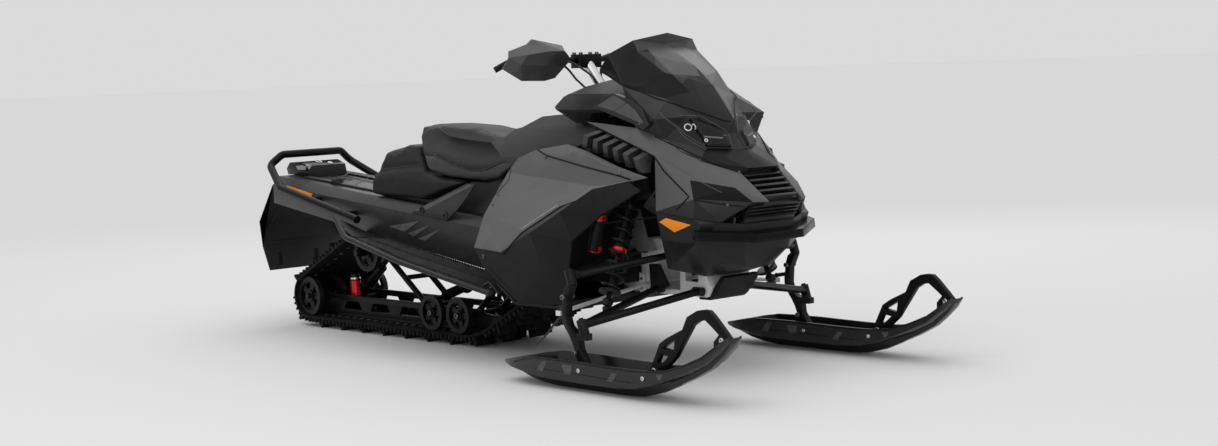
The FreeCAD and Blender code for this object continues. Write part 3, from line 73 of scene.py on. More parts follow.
sky = bpy.data.worlds.new("studio sky")
sky.use_nodes = True
scene.world = sky
tree = sky.node_tree
tree.nodes.clear()
sky_out = tree.nodes.new("ShaderNodeOutputWorld")
sky_way = tree.nodes.new("ShaderNodeTexCoord")
sky_split = tree.nodes.new("ShaderNodeSeparateXYZ")
sky_ramp = tree.nodes.new("ShaderNodeValToRGB")
sky_low, sky_high = sky_ramp.color_ramp.elements
sky_low.color = (0.30, 0.30, 0.305, 1)
sky_high.color = (1.25, 1.25, 1.25, 1)
sky_light = tree.nodes.new("ShaderNodeBackground")
sky_seen = tree.nodes.new("ShaderNodeBackground")
sky_seen.inputs["Color"].default_value = (0.705, 0.705, 0.708, 1)
sky_rays = tree.nodes.new("ShaderNodeLightPath")
sky_mix = tree.nodes.new("ShaderNodeMixShader")
tree.links.new(sky_way.outputs["Generated"], sky_split.inputs[0])
tree.links.new(sky_split.outputs["Z"], sky_ramp.inputs["Fac"])
tree.links.new(sky_ramp.outputs["Color"], sky_light.inputs["Color"])
tree.links.new(sky_rays.outputs["Is Camera Ray"], sky_mix.inputs[0])
tree.links.new(sky_light.outputs[0], sky_mix.inputs[1])
tree.links.new(sky_seen.outputs[0], sky_mix.inputs[2])
tree.links.new(sky_mix.outputs[0], sky_out.inputs["Surface"])

bpy.ops.mesh.primitive_plane_add(size=240, location=(0, 0, -0.0005))
floor = bpy.context.object
floor.name = "floor"
floor_paint = bpy.data.materials.new("floor paint")
floor_paint.use_nodes = True
floor_shader = floor_paint.node_tree.nodes["Principled BSDF"]
floor_shader.inputs["Base Color"].default_value = (0.733, 0.733, 0.735, 1)
floor_shader.inputs["Roughness"].default_value = 1.0
floor_shader.inputs["Specular IOR Level"].default_value = 0.0
floor.data.materials.append(floor_paint)


def soft_light(name, place, target, width, height, power):
    """A flat studio light aimed at a point of the machine."""
    data = bpy.data.lights.new(name, "AREA")
    data.shape = "RECTANGLE"
    data.size = width
    data.size_y = height
    data.energy = power
    lamp = bpy.data.objects.new(name, data)
    lamp.location = place
    lamp.rotation_euler = (Vector(target) - Vector(place)).to_track_quat("-Z", "Y").to_euler()
    scene.collection.objects.link(lamp)


soft_light("light behind", (-2.6, 3.6, 3.4), (0.1, 0, 0.6), 6.0, 3.0, 30)
soft_light("light over the side", (0.6, -3.2, 4.2), (0, 0, 0.5), 4.0, 1.2, 22)
soft_light("light low in front", (3.6, -4.2, 1.0), (0.6, -0.1, 0.35), 2.4, 1.0, 26)

# Track.
# One endless loop of moulded rubber with tall paddles, edge blocks and steel
# clips; it has a dull skin whose edges, the paddle tips among them, are paler, partly scuffs and partly a painted
# highlight.
datum_x = 25
merge_within = 0.00002
flat_within = radians(0.6)
facing_up = 0.9


def at(x, y, z):
    """A place in metres from millimetres on the machine's own datum."""
    return Vector(((x - datum_x) / 1000, y / 1000, z / 1000))


def only(*chosen):
    """These objects alone are selected, and the first is active."""
    bpy.ops.object.select_all(action="DESELECT")
    for piece in chosen:
        piece.select_set(True)
    if chosen:
        bpy.context.view_layer.objects.active = chosen[0]


def effect(name, setting, gives):
    """An empty shared effect that takes a place and one setting, and gives masks or heights."""
    made = bpy.data.node_groups.new(name, "ShaderNodeTree")
    for label, kind in (("Vector", "NodeSocketVector"), (setting, "NodeSocketFloat")):
        made.interface.new_socket(label, in_out="INPUT", socket_type=kind)
    for label in gives:
        made.interface.new_socket(label, in_out="OUTPUT", socket_type="NodeSocketFloat")
    return made, made.nodes.new("NodeGroupInput"), made.nodes.new("NodeGroupOutput"), made.links


def noise(tree, place, size, detail, roughness=0.55):
    """A noise of one size; the size is a number or a socket."""
    made = tree.nodes.new("ShaderNodeTexNoise")
    tree.links.new(place, made.inputs["Vector"])
    made.inputs["Detail"].default_value = detail
    made.inputs["Roughness"].default_value = roughness
    if isinstance(size, (int, float)):
        made.inputs["Scale"].default_value = size
    else:
        tree.links.new(size, made.inputs["Scale"])
    return made.outputs["Fac"]


def sums(tree, way, first, second):
    """One sum of two sockets or numbers."""
    made = tree.nodes.new("ShaderNodeMath")
    made.operation = way
    for place, value in ((0, first), (1, second)):
        if isinstance(value, (int, float)):
            made.inputs[place].default_value = value
        else:
            tree.links.new(value, made.inputs[place])
    return made.outputs[0]


def spread(tree, value, low, high, to_low=0.0, to_high=1.0):
    """A value taken from one range to another and held inside it."""
    made = tree.nodes.new("ShaderNodeMapRange")
    tree.links.new(value, made.inputs["Value"])
    for label, limit in (("From Min", low), ("From Max", high), ("To Min", to_low), ("To Max", to_high)):
        made.inputs[label].default_value = limit
    return made.outputs["Result"]


def clouds(tree, inside, size, detail):
    """Broad soft patches, for a colour that drifts over a surface."""
    return spread(tree, noise(tree, inside.outputs["Vector"], size, detail), 0.3, 0.7)


moulded, inside, outside, links = effect("moulded surface", "Grain", ("Height", "Cloud"))
links.new(noise(moulded, inside.outputs["Vector"], inside.outputs["Grain"], 3.0), outside.inputs["Height"])
links.new(clouds(moulded, inside, 7.0, 5.0), outside.inputs["Cloud"])

# Paler edges: partly rubbed wear, partly a painted highlight along the rounded edges.
worn_edges, inside, outside, links = effect("edge wear and painted highlight", "Amount", ("Mask",))
shape = worn_edges.nodes.new("ShaderNodeNewGeometry")
raised = spread(worn_edges, shape.outputs["Pointiness"], 0.515, 0.60)
patchy = spread(worn_edges, noise(worn_edges, inside.outputs["Vector"], 38.0, 4.0), 0.35, 0.65)
patchy = sums(worn_edges, "ADD", sums(worn_edges, "MULTIPLY", patchy, 0.7), 0.3)
rubbed_and_highlit = sums(worn_edges, "MULTIPLY", raised, patchy)
links.new(sums(worn_edges, "MULTIPLY", rubbed_and_highlit, inside.outputs["Amount"]), outside.inputs["Mask"])

settled, inside, outside, links = effect("settled dust", "Amount", ("Mask",))
facing = settled.nodes.new("ShaderNodeNewGeometry")
upward_part = settled.nodes.new("ShaderNodeSeparateXYZ")
links.new(facing.outputs["Normal"], upward_part.inputs[0])
lying = spread(settled, upward_part.outputs["Z"], 0.3, 1.0)
drift = spread(settled, noise(settled, inside.outputs["Vector"], 16.0, 6.0, 0.7), 0.42, 0.7)
links.new(sums(settled, "MULTIPLY", sums(settled, "MULTIPLY", lying, drift), inside.outputs["Amount"]),
          outside.inputs["Mask"])


def blend_colour(tree, share, first, second):
    """Two colours mixed by a mask; each is a colour or a socket."""
    made = tree.nodes.new("ShaderNodeMix")
    made.data_type = "RGBA"
    tree.links.new(share, made.inputs[0])
    for place, value in ((6, first), (7, second)):
        if isinstance(value, tuple):
            made.inputs[place].default_value = (*value, 1)
        else:
            tree.links.new(value, made.inputs[place])
    return made.outputs[2]


def shared(tree, name, place, **values):
    """A shared effect placed in a material with that material's own values."""
    made = tree.nodes.new("ShaderNodeGroup")
    made.node_tree = bpy.data.node_groups[name]
    tree.links.new(place, made.inputs["Vector"])
    for label, value in values.items():
        made.inputs[label].default_value = value
    return made.outputs


dust_grey = (0.32, 0.32, 0.32)


def finish(name, colour, roughness, metallic=0.0, specular=0.5, coat=0.0, surface="moulded surface",
           grain=700.0, relief=0.12, patch=0.22, edge_wear_and_highlight=0.35, dust=0.05, alpha=1.0):
    """A material: its colour drifts a little, its edges are painted paler, partly as wear and partly as a painted
    highlight, and its skin has a grain.
    """
    made = bpy.data.materials.new(name)
    made.use_nodes = True
    tree = made.node_tree
    shader = tree.nodes["Principled BSDF"]
    for label, value in (("Metallic", metallic), ("Specular IOR Level", specular), ("Coat Weight", coat),
                         ("Coat Roughness", 0.07), ("Alpha", alpha)):
        shader.inputs[label].default_value = value
    place = tree.nodes.new("ShaderNodeTexCoord").outputs["Object"]
    skin = shared(tree, surface, place, Grain=grain)
    edge = shared(tree, "edge wear and painted highlight", place, Amount=edge_wear_and_highlight)["Mask"]
    fall = shared(tree, "settled dust", place, Amount=dust)["Mask"]
    deep = tuple(part * (1 - patch) for part in colour)
    pale = tuple(part * (1 + patch) for part in colour)
    # The paler edge colour stands for wear and also for a painted highlight.
    rub_and_highlight = tuple(min(1.0, part * 2.2 + 0.02) for part in colour)
    drifting = blend_colour(tree, skin["Cloud"], deep, pale)
    rubbed_and_highlit = blend_colour(tree, edge, drifting, rub_and_highlight)
    tree.links.new(blend_colour(tree, fall, rubbed_and_highlit, dust_grey), shader.inputs["Base Color"])
    dull = spread(tree, skin["Cloud"], 0.0, 1.0, max(0.03, roughness - 0.05),
                  min(1.0, roughness + 0.05))
    tree.links.new(dull, shader.inputs["Roughness"])
    bump = tree.nodes.new("ShaderNodeBump")
    bump.inputs["Strength"].default_value = relief
    bump.inputs["Distance"].default_value = 0.0006
    tree.links.new(skin["Height"], bump.inputs["Height"])
    tree.links.new(bump.outputs["Normal"], shader.inputs["Normal"])
    return made


body_of_node = {}
for body_name, members in frame["record"]["behaviour"]["bodies"].items():
    for member in members:
        body_of_node[member] = body_name


def edit(chosen="SELECT"):
    """Edit mode on the active piece, with all or none of it selected."""
    bpy.ops.object.mode_set(mode="EDIT")
    bpy.ops.mesh.select_all(action=chosen)


def leave():
    """Back to object mode."""
    bpy.ops.object.mode_set(mode="OBJECT")


def skin_of(mesh):
    """A mesh's surface, for rays to meet."""
    return BVHTree.FromPolygons([v.co for v in mesh.vertices], [p.vertices for p in mesh.polygons])


def coloured(piece, material):
    """One material over the whole of a piece."""
    piece.data.materials.clear()
    piece.data.materials.append(material)


def merged(node, name, material):
    """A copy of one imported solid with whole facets, left in edit mode."""
    piece = bpy.data.objects.new(name, solids[node].data.copy())
    scene.collection.objects.link(piece)
    coloured(piece, material)
    only(piece)
    edit()
    bpy.ops.mesh.remove_doubles(threshold=merge_within)
    bpy.ops.mesh.dissolve_limited(angle_limit=flat_within)
    return piece


def rounded(piece, width, segments, crease=30, harden=False):
    """The edges sharper than a crease angle rounded off."""
    rounding = piece.modifiers.new("rounding", "BEVEL")
    rounding.width = width
    rounding.segments = segments
    rounding.limit_method = "ANGLE"
    rounding.angle_limit = radians(crease)
    rounding.harden_normals = harden
    bpy.ops.object.modifier_apply(modifier="rounding")


def dressed(node, material, edge=0.0012, rounds=2, crease=22, smooth=35):
    """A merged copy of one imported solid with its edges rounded, in place of that solid."""
    piece = merged(node, node + "_body", material)
    leave()
    if edge > 0:
        rounded(piece, edge, rounds, crease)
    bpy.ops.object.shade_smooth_by_angle(angle=radians(smooth))
    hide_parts(node)
    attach(piece, body_of_node[node])
    return piece


track_rubber = finish("track rubber", (0.0022, 0.0022, 0.0022), 0.6, dust=0.01, specular=0.07, grain=520,
                      relief=0.3, edge_wear_and_highlight=0.9)
dressed("track", track_rubber, edge=0.0)


def join_all(name, pieces):
    """Pieces joined into one under a name."""
    only(*pieces)
    if len(pieces) > 1:
        bpy.ops.object.join()
    made = bpy.context.object
    made.name = name
    return made


belt_skin = skin_of(solids["track"].data)
belt_pitch = 25.4
belt_side = 186
wheel_x, wheel_z = -1244.0, 128.5
belt_runs = [((-1240 + part * belt_pitch, 128.0), (0.0, -1.0)) for part in range(45)]
for part in range(6):
    angle = radians(187 + part * 14)
    belt_runs.append(((wheel_x, wheel_z), (cos(angle), sin(angle))))
for steps, (x, z), (run, rise), way in ((16, (wheel_x, wheel_z), (394, 201.5), (-0.455, 0.890)),
                                        (11, (-100, 128), (255, 177), (0.571, -0.821))):
    for part in range(steps + 1):
        belt_runs.append(((x + run * part / steps, z + rise * part / steps), way))


def tops(block):
    """Edit mode with only a block's top faces selected."""
    edit("DESELECT")
    leave()
    for face in block.data.polygons:
        face.select = face.normal.z > facing_up
    bpy.ops.object.mode_set(mode="EDIT")


def belt_block(name, length, width, tall, narrow):
    """A moulded block whose top is narrower than its foot and slightly dished."""
    only()
    bpy.ops.mesh.primitive_cube_add(size=1, location=(0, 0, 0), scale=(length, width, tall))
    bpy.ops.object.transform_apply(location=True, rotation=True, scale=True)
    block = bpy.context.object
    block.name = name
    tops(block)
    bpy.ops.transform.resize(value=(narrow, 0.85, 1))
    bpy.ops.mesh.inset(thickness=length * 0.12, depth=-tall * 0.08)
    leave()
    return block


def copies(pattern, moves):
    """Copies of a pattern, one for each matrix; the pattern itself is taken away."""
    made = []
    for move in moves:
        copy = pattern.data.copy()
        copy.transform(move)
        piece = bpy.data.objects.new(pattern.name, copy)
        scene.collection.objects.link(piece)
        made.append(piece)
    bpy.data.objects.remove(pattern)
    return made


def along_belt(pattern, side, lift, every=1):
    """Copies of a block along the belt, each standing on the belt's inner face plus a lift."""
    moves = []
    for (x, z), (dx, dz) in belt_runs[::every]:
        way = Vector((dx, 0, dz))
        place = belt_skin.ray_cast(at(x, belt_side, z), way)[0]
        if place is None:
            continue
        crossways = Vector((0, 1, 0))
        facing = Matrix((crossways.cross(way), crossways, way)).transposed().to_4x4()
        for hand in (1, -1):
            spot = Vector((place.x, side * hand, place.z)) + way * lift
            moves.append(Matrix.Translation(spot) @ facing)
    return copies(pattern, moves)


blocks = join_all("track_blocks", along_belt(belt_block("edge_block", 0.013, 0.022, 0.020, 0.6), 0.176, 0.0165))
blocks.data.materials.append(track_rubber)
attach(blocks, "chassis")
clip_steel = finish("track clip steel", (0.35, 0.35, 0.36), 0.35, metallic=0.9, grain=1500, relief=0.1,
                    patch=0.3, edge_wear_and_highlight=0.5)
clips = join_all("track_clips", along_belt(belt_block("clip", 0.012, 0.016, 0.004, 0.8), 0.128, -0.0012, 2))
clips.data.materials.append(clip_steel)
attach(clips, "chassis")

# Hood.
# One faceted shell of satin moulded plastic with pressed creases: the top is
# dark, and a paler band runs down each side from the dash to the nose.
frame_x, frame_y = 609, 223
frame_reach = 1948.4


def corner_set(text):
    """Named corners from lines of a name and three millimetres."""
    found = {}
    for entry in text.split(";"):
        label, x, y, z = entry.split()
        found[label] = at(float(x), float(y), float(z))
    return found


def view_ray(px, py):
    """The direction of one point of the photo's 1218 by 446 frame."""
    return (across * (px - frame_x) - upright * (py - frame_y)) / frame_reach + forward


def crisp(node, material, edge=0.0014, crease=4, cuts=()):
    """A faceted shell: flat facets whose creases are rounded by a narrow band.
    A cut is a line of the photo's view along which its facets are divided."""
    piece = merged(node, node + "_body", material)
    for first, second in zip(cuts, cuts[1:]):
        plane = view_ray(*first).cross(view_ray(*second)).normalized()
        for hand in (1, -1):
            bpy.ops.mesh.select_all(action="SELECT")
            bpy.ops.mesh.bisect(plane_co=(camera_place.x, camera_place.y * hand, camera_place.z),
                                plane_no=(plane.x, plane.y * hand, plane.z))
    leave()
    bpy.ops.object.shade_smooth()
    rounded(piece, edge, 2, crease, harden=True)
    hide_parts(node)
    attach(piece, body_of_node[node])
    return piece


def paint(piece, material, corners, facets, reach=0.0045):
    """The part of a shell that lies on the named facets takes another finish."""
    piece.data.materials.append(material)
    chosen = len(piece.data.materials) - 1
    for face in piece.data.polygons:
        spot = Vector((face.center.x, abs(face.center.y), face.center.z))
        for facet in facets.split(";"):
            names = facet.split()
            for second in range(1, len(names) - 1):
                a, b, c = (corners[n] for n in (names[0], names[second], names[second + 1]))
                flat = (b - a).cross(c - a).normalized()
                off = (spot - a).dot(flat)
                if abs(off) < reach and intersect_point_tri(spot - flat * off, a, b, c):
                    face.material_index = chosen


def frame_point(place):
    """Where a place is seen in the photo's frame."""
    away = place - camera_place
    deep = away.dot(forward)
    return frame_x + frame_reach * away.dot(across) / deep, frame_y - frame_reach * away.dot(upright) / deep


def within(px, py, outline):
    """Whether a point of the frame is inside an outline."""
    odd = False
    for (ax, ay), (bx, by) in zip(outline, outline[1:] + outline[:1]):
        if (ay > py) != (by > py) and px < ax + (bx - ax) * (py - ay) / (by - ay):
            odd = not odd
    return odd


def paint_seen(piece, material, outline):
    """The faces that are seen inside an outline, and their twins, take another finish."""
    piece.data.materials.append(material)
    chosen = len(piece.data.materials) - 1
    for face in piece.data.polygons:
        spot = Vector((face.center.x, -abs(face.center.y), face.center.z))
        if within(*frame_point(spot), list(outline)):
            face.material_index = chosen


hood_corners = corner_set(
    "dash 820 0 958;screen_rear 820 236 982;screen_kink 954 160 937;screen_tip 1112 0 858;brow_out 1016 136 875;"
    "brow_in 1102 26 813;brow_mid 1104 0 813;lamp_out 1091 120 766;lamp_in 1133 33 760;ridge 1135 0 760;"
    "cowl_edge 1239 70 701;cowl_mid 1241 0 701;vent_top 1224 94 686;vent_low 1335 80 594;cheek_top 1122 230 670;"
    "cheek_front 1252 152 642;cheek_tip 1308 127 594;cheek_out 1157 252 609;pan_rear 1038 310 570;"
    "pan_out 1174 272 547;pan_front 1223 196 531;strip_a 623 230 864;strip_b 906 262 844;strip_c 1004 225 803;"
    "strip_d 1118 175 729;flank 1000 268 872;low_a 710 250 843;low_b 881 292 803;low_c 1007 276 751")
satin = {"grain": 1500, "relief": 0.05, "edge_wear_and_highlight": 0.0}
hood_dark = finish("satin hood black", (0.014, 0.014, 0.0143), 0.34, specular=0.22, patch=0.08, **satin)
band_grey = finish("satin band grey", (0.072, 0.072, 0.074), 0.42, specular=0.4, patch=0.06, **satin)
gloss_black_and_cheek_shade = finish("gloss black", (0.0035, 0.0035, 0.0036), 0.24, dust=0.01, specular=0.12, grain=1200,
                     relief=0.03, patch=0.1, edge_wear_and_highlight=0.2)
hood = crisp("hood", hood_dark)
paint(hood, band_grey, hood_corners,
      "strip_a strip_b low_b low_a;strip_b strip_c low_c low_b;strip_c strip_d low_c;strip_d cheek_top low_c;"
      "strip_d cheek_front cheek_top;strip_d vent_top cheek_front;vent_top vent_low cheek_front;"
      "vent_low cheek_tip cheek_front;low_c cheek_top cheek_out;low_c cheek_out pan_rear")
# The undercut cheek facets take the near-black gloss as painted shade where they face down.
paint(hood, gloss_black_and_cheek_shade, hood_corners, "cheek_top cheek_front cheek_out;cheek_front cheek_tip cheek_out")

cowl_dark = finish("satin cowl black", (0.006, 0.006, 0.0062), 0.4, dust=0.01, specular=0.09, patch=0.08,
                   **satin)
paint(hood, cowl_dark, hood_corners,
      "lamp_in ridge cowl_mid cowl_edge;lamp_out lamp_in cowl_edge;lamp_out cowl_edge strip_d;"
      "strip_d cowl_edge vent_top")

surfaces = {}


def touch(nodes, px, py, lift=0.0):
    """The place and normal where a line of the photo's view meets a node."""
    ray = view_ray(px, py)
    best = None
    for node in nodes.split():
        if node not in surfaces:
            surfaces[node] = skin_of(solids[node].data)
        place, normal, face, away = surfaces[node].ray_cast(camera_place, ray.normalized())
        if place is not None and (best is None or away < best[2]):
            best = (place + normal * lift, normal, away)
    if best is None:
        print("no surface at", nodes, px, py)
    elif best[1].dot(ray) > 0:
        best = (best[0] - best[1] * 2 * lift, -best[1], best[2])
    return best


def laid(nodes, pixels, lift=0.0, step=4.0):
    """A line of the photo's view, drawn on a node's surface."""
    line = []
    for (ax, ay), (bx, by) in zip(pixels, pixels[1:]):
        count = max(1, round(hypot(bx - ax, by - ay) / step))
        for part in range(count):
            line.append((ax + (bx - ax) * part / count, ay + (by - ay) * part / count))
    line.append(pixels[-1])
    met = [touch(nodes, px, py, lift) for px, py in line]
    return [hit[0] for hit in met if hit]


def mirrored(place):
    """The twin of a place or a way across the machine."""
    return Vector((place[0], -place[1], place[2]))


def both(line):
    """A line and its twin across the machine."""
    return [line, [mirrored(place) for place in line]]


def ring_round(place, way, size, count=16):
    """Places in a circle that faces a way."""
    facing = way.to_track_quat("Z", "Y").to_matrix()
    turns = [part * 2 * pi / count for part in range(count)]
    return [place + facing @ Vector((cos(turn) * size, sin(turn) * size, 0)) for turn in turns]


def fitted(piece, material, body, smooth=35):
    """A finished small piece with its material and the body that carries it."""
    coloured(piece, material)
    only(piece)
    bpy.ops.object.shade_smooth_by_angle(angle=radians(smooth))
    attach(piece, body)
    return piece


def tube(name, lines, radius, material, body="chassis", round_ring=1, closed=False,
         soft=False):
    """Round bar, cord or bead along lines, as one mesh."""
    route = bpy.data.curves.new(name, "CURVE")
    route.dimensions = "3D"
    route.bevel_depth = radius
    route.bevel_resolution = round_ring
    route.use_fill_caps = True
    for line in lines:
        run = route.splines.new("NURBS" if soft else "POLY")
        run.points.add(len(line) - 1)
        for spot, place in zip(run.points, line):
            spot.co = (*place, 1)
        run.use_cyclic_u = closed
        if soft:
            run.order_u = 3
            run.use_endpoint_u = not closed
            run.resolution_u = 4
    piece = bpy.data.objects.new(name, route)
    scene.collection.objects.link(piece)
    only(piece)
    bpy.ops.object.convert(target="MESH")
    return fitted(bpy.context.object, material, body)


def one_face(corners):
    """A single flat face with these corners."""
    only()
    bpy.ops.mesh.primitive_circle_add(vertices=len(corners), radius=0.01, fill_type="NGON")
    piece = bpy.context.object
    for spot, place in zip(piece.data.vertices, corners):
        spot.co = place
    return piece


def plate(name, outlines, depth, material, body="chassis", edge=0.0):
    """Flat plates, each an outline given a thickness, half of it each side of the outline."""
    made = []
    for outline in outlines:
        piece = one_face(outline)
        piece.data.update()
        push = piece.data.polygons[0].normal * depth
        edit()
        bpy.ops.transform.translate(value=push * -0.5)
        bpy.ops.mesh.extrude_region_move(TRANSFORM_OT_translate={"value": push})
        bpy.ops.mesh.select_all(action="SELECT")
        bpy.ops.mesh.normals_make_consistent(inside=False)
        leave()
        made.append(piece)
    piece = join_all(name, made)
    if edge > 0:
        rounded(piece, edge, 2)
    return fitted(piece, material, body, 30)


def patch(name, nodes, outline, lift, depth, material, body="chassis", slot="trim_black", cuts=5, twin=True):
    """A thin skin over a part of a surface that is outlined in the photo's view, and its twin."""
    piece = one_face([(px, py, 0) for px, py in outline])
    piece.name = name
    edit()
    bpy.ops.mesh.quads_convert_to_tris(ngon_method="BEAUTY")
    bpy.ops.mesh.subdivide(number_cuts=cuts)
    leave()
    missed = set()
    for spot in piece.data.vertices:
        met = touch(nodes, spot.co.x, spot.co.y, lift)
        if met:
            spot.co = met[0]
        else:
            missed.add(spot.index)
    loose = bmesh.new()
    loose.from_mesh(piece.data)
    bmesh.ops.delete(loose, geom=[spot for spot in loose.verts if spot.index in missed], context="VERTS")
    loose.to_mesh(piece.data)
    loose.free()
    edit()
    bpy.ops.mesh.normals_make_consistent(inside=False)
    leave()
    middle = piece.data.polygons[0]
    if middle.normal.dot(camera_place - middle.center) < 0:
        piece.data.flip_normals()
    wall = piece.modifiers.new("wall", "SOLIDIFY")
    wall.thickness = depth
    wall.offset = -1
    bpy.ops.object.modifier_apply(modifier="wall")
    if twin:
        other = bpy.data.objects.new(name, piece.data.copy())
        scene.collection.objects.link(other)
        other.data.transform(Matrix.Scale(-1, 4, (0, 1, 0)))
        other.data.flip_normals()
        only(piece, other)
        bpy.ops.object.join()
    return fitted(bpy.context.object, material, body, 20)


def screws(name, places, radius, height, material, body="chassis", sides=14):
    """Screw heads with a sunk drive, one at each place along its normal."""
    only()
    bpy.ops.mesh.primitive_cylinder_add(vertices=sides, radius=radius, depth=height)
    pattern = bpy.context.object
    pattern.name = name
    tops(pattern)
    bpy.ops.mesh.inset(thickness=radius * 0.16, depth=height * 0.18)
    bpy.ops.mesh.inset(thickness=radius * 0.34)
    bpy.ops.mesh.extrude_region_move(TRANSFORM_OT_translate={"value": (0, 0, -height * 0.5)})
    leave()
    moves = [Matrix.Translation(place) @ way.to_track_quat("Z", "Y").to_matrix().to_4x4() for place, way in places]
    return fitted(join_all(name, copies(pattern, moves)), material, body)


def twins(spots):
    """Places with their ways, each followed by its twin across the machine."""
    found = []
    for place, way in spots:
        found += [(place, way), (mirrored(place), mirrored(way))]
    return found


def screw_spots(nodes, pixels, lift=0.001):
    """Screw places seen in the photo, and their twins."""
    met = [touch(nodes, px, py, lift) for px, py in pixels]
    return twins([hit[:2] for hit in met if hit])


seam_black = finish("seam rubber", (0.0025, 0.0025, 0.0025), 0.6, specular=0.15, grain=900, relief=0.1, patch=0.2)
bolt_steel = finish("blackened screw", (0.10, 0.10, 0.105), 0.35, metallic=0.8, grain=2500, relief=0.08, edge_wear_and_highlight=0.8)
shell = "hood side_panels side_vents console nose_pan windshield headlamps front_bumper grilles belly_panels"
seam_lines = []
for pixels in (
        ((655.0, 136.6), (677.7, 147.4), (698.1, 156.5), (718.5, 165.0), (740.0, 172.3)),
        ((655.0, 157.6), (664.1, 171.2), (689.0, 196.7), (676.5, 210.0)),
        ((602.5, 131.2), (653.5, 156.7)),
        ((694.7, 200.1), (725.3, 204.6), (747.9, 207.2))):
    seam_lines += both(laid(shell, pixels))
tube("hood_seams", seam_lines, 0.0027, seam_black)


def bead(name, nodes, pixels, lift, radius, material):
    """A thin bead on a surface along a line of the photo's view, and its twin."""
    tube(name, both(laid(nodes, pixels, lift)), radius, material)


bead("hood_fold", shell, ((655.0, 155.3), (681.1, 169.5), (706.0, 184.8), (721.9, 192.7)), -0.0004, 0.0013,
     band_grey)
screws("hood_screws", screw_spots("hood nose_pan side_panels", ((727.5, 205.0), (739.0, 172.0), (545.6, 157.5))),
       0.0042, 0.004, bolt_steel)
slit_outline = ((675.4, 147.0), (682.6, 148.6), (699.0, 157.3), (696.5, 158.6), (688.0, 155.4), (679.0, 150.6))
plate("hood_slits", both(laid("hood", slit_outline, 0.0, 40)), 0.0012, seam_black)

# Slide rails, wheels and drive.
# Anodised rails on worn plastic shoes, and moulded black wheels with spokes on
# their axles, each held by a bolt.
rail_alloy = finish("dark anodised rail", (0.005, 0.005, 0.0052), 0.35, dust=0.01, specular=0.15, grain=900,
                    relief=0.1, edge_wear_and_highlight=0.8)
shoe_plastic = finish("shoe plastic", (0.005, 0.005, 0.005), 0.45, specular=0.2)
wheel_plastic = finish("wheel plastic", (0.0035, 0.0035, 0.0036), 0.34, dust=0.01, specular=0.16, grain=900,
                       relief=0.1, edge_wear_and_highlight=0.5)
dressed("slide_rails", rail_alloy, edge=0.0008)
dressed("rail_shoes", shoe_plastic, edge=0.001)
for node in ("rear_axle_wheels", "idler_wheels", "drive_axle"):
    dressed(node, wheel_plastic, edge=0.0)

# Track suspension and its shocks.
# Powder-coated swing arms and shocks between the rails and the tunnel; the rear
# shock has an anodised red reservoir with a bright ring round each end.
powder_black = finish("powder black", (0.0032, 0.0032, 0.0033), 0.34, dust=0.01, specular=0.16, grain=1600,
                      relief=0.12, patch=0.15, edge_wear_and_highlight=0.6)
bright_steel = finish("bright plated steel", (0.55, 0.55, 0.56), 0.22, metallic=1.0, grain=1800, relief=0.05)
dressed("track_suspension", powder_black, edge=0.0)
dressed("track_shocks", powder_black, edge=0.0)
anodised_red = finish("anodised red", (0.55, 0.012, 0.010), 0.25, metallic=0.5, specular=0.5, grain=1500,
                      relief=0.04, patch=0.15, edge_wear_and_highlight=0.3)
side_way = Vector((0, -1, 0))
hubs = twins([(at(x, -178, z), side_way) for x, z in ((wheel_x, wheel_z), (-850, 330), (-398, 116), (-229, 116))])
screws("wheel_bolts", hubs, 0.011, 0.010, bolt_steel)
tube("red_reservoir", [[at(-1085.5, -44, 128), at(-1088.5, -44, 190)]], 0.0225, anodised_red,
     round_ring=5)
tube("reservoir_rings", [[at(-1084.8, -44, 114), at(-1085.2, -44, 121)],
                         [at(-1089, -44, 196), at(-1089.4, -44, 203)]],
     0.0235, bright_steel, round_ring=5)

# Tunnel, braces and rear frame.
# Folded sheet in fine satin black with side braces bolted on, a tube hoop round
# the rear, a plastic rack, a rubber flap, amber reflectors and a dark lamp.
tunnel_black = finish("tunnel satin black", (0.017, 0.017, 0.0173), 0.34, specular=0.4, grain=1800,
                      relief=0.08, patch=0.12, edge_wear_and_highlight=0.4)
dressed("tunnel", tunnel_black)
dressed("side_braces", tunnel_black, edge=0.0018)
dressed("rear_bumper", powder_black, edge=0.0, smooth=50)
dressed("deck_rack", finish("rack black", (0.010, 0.010, 0.010), 0.42, specular=0.35), edge=0.0008)
flap_black = finish("snow flap rubber", (0.019, 0.019, 0.019), 0.5, specular=0.25, grain=500, relief=0.25,
                    patch=0.2)
crisp("snow_flap", flap_black, edge=0.002)
amber_lens = finish("amber lens", (0.82, 0.25, 0.003), 0.25, specular=0.3, coat=0.1, grain=300, relief=0.1,
                    patch=0.12, edge_wear_and_highlight=0.0)
dressed("reflectors", amber_lens, edge=0.001)
tail_lens = finish("tail lamp lens", (0.006, 0.0045, 0.0045), 0.2, specular=0.2, coat=0.05, relief=0.02)
dressed("tail_lamp", tail_lens, edge=0.0015)

# Running boards.
# Pierced boards between rolled edge tubes, welded to the tunnel, with a lattice
# of thin ribs and rows of small upturned teeth on them.
board_black = finish("board black", (0.006, 0.006, 0.006), 0.4, dust=0.01, specular=0.3, grain=1500,
                     relief=0.15, edge_wear_and_highlight=1.2)
dressed("footboards", board_black, edge=0.0)
tooth_moves = []
lattice = []
lattice_front, lattice_rear, lattice_pitch, lattice_margin = 262, -620, 15.5, 14
tooth_front, tooth_pitch, tooth_margin = 250, 13.5, 16
board_inner_y = 206


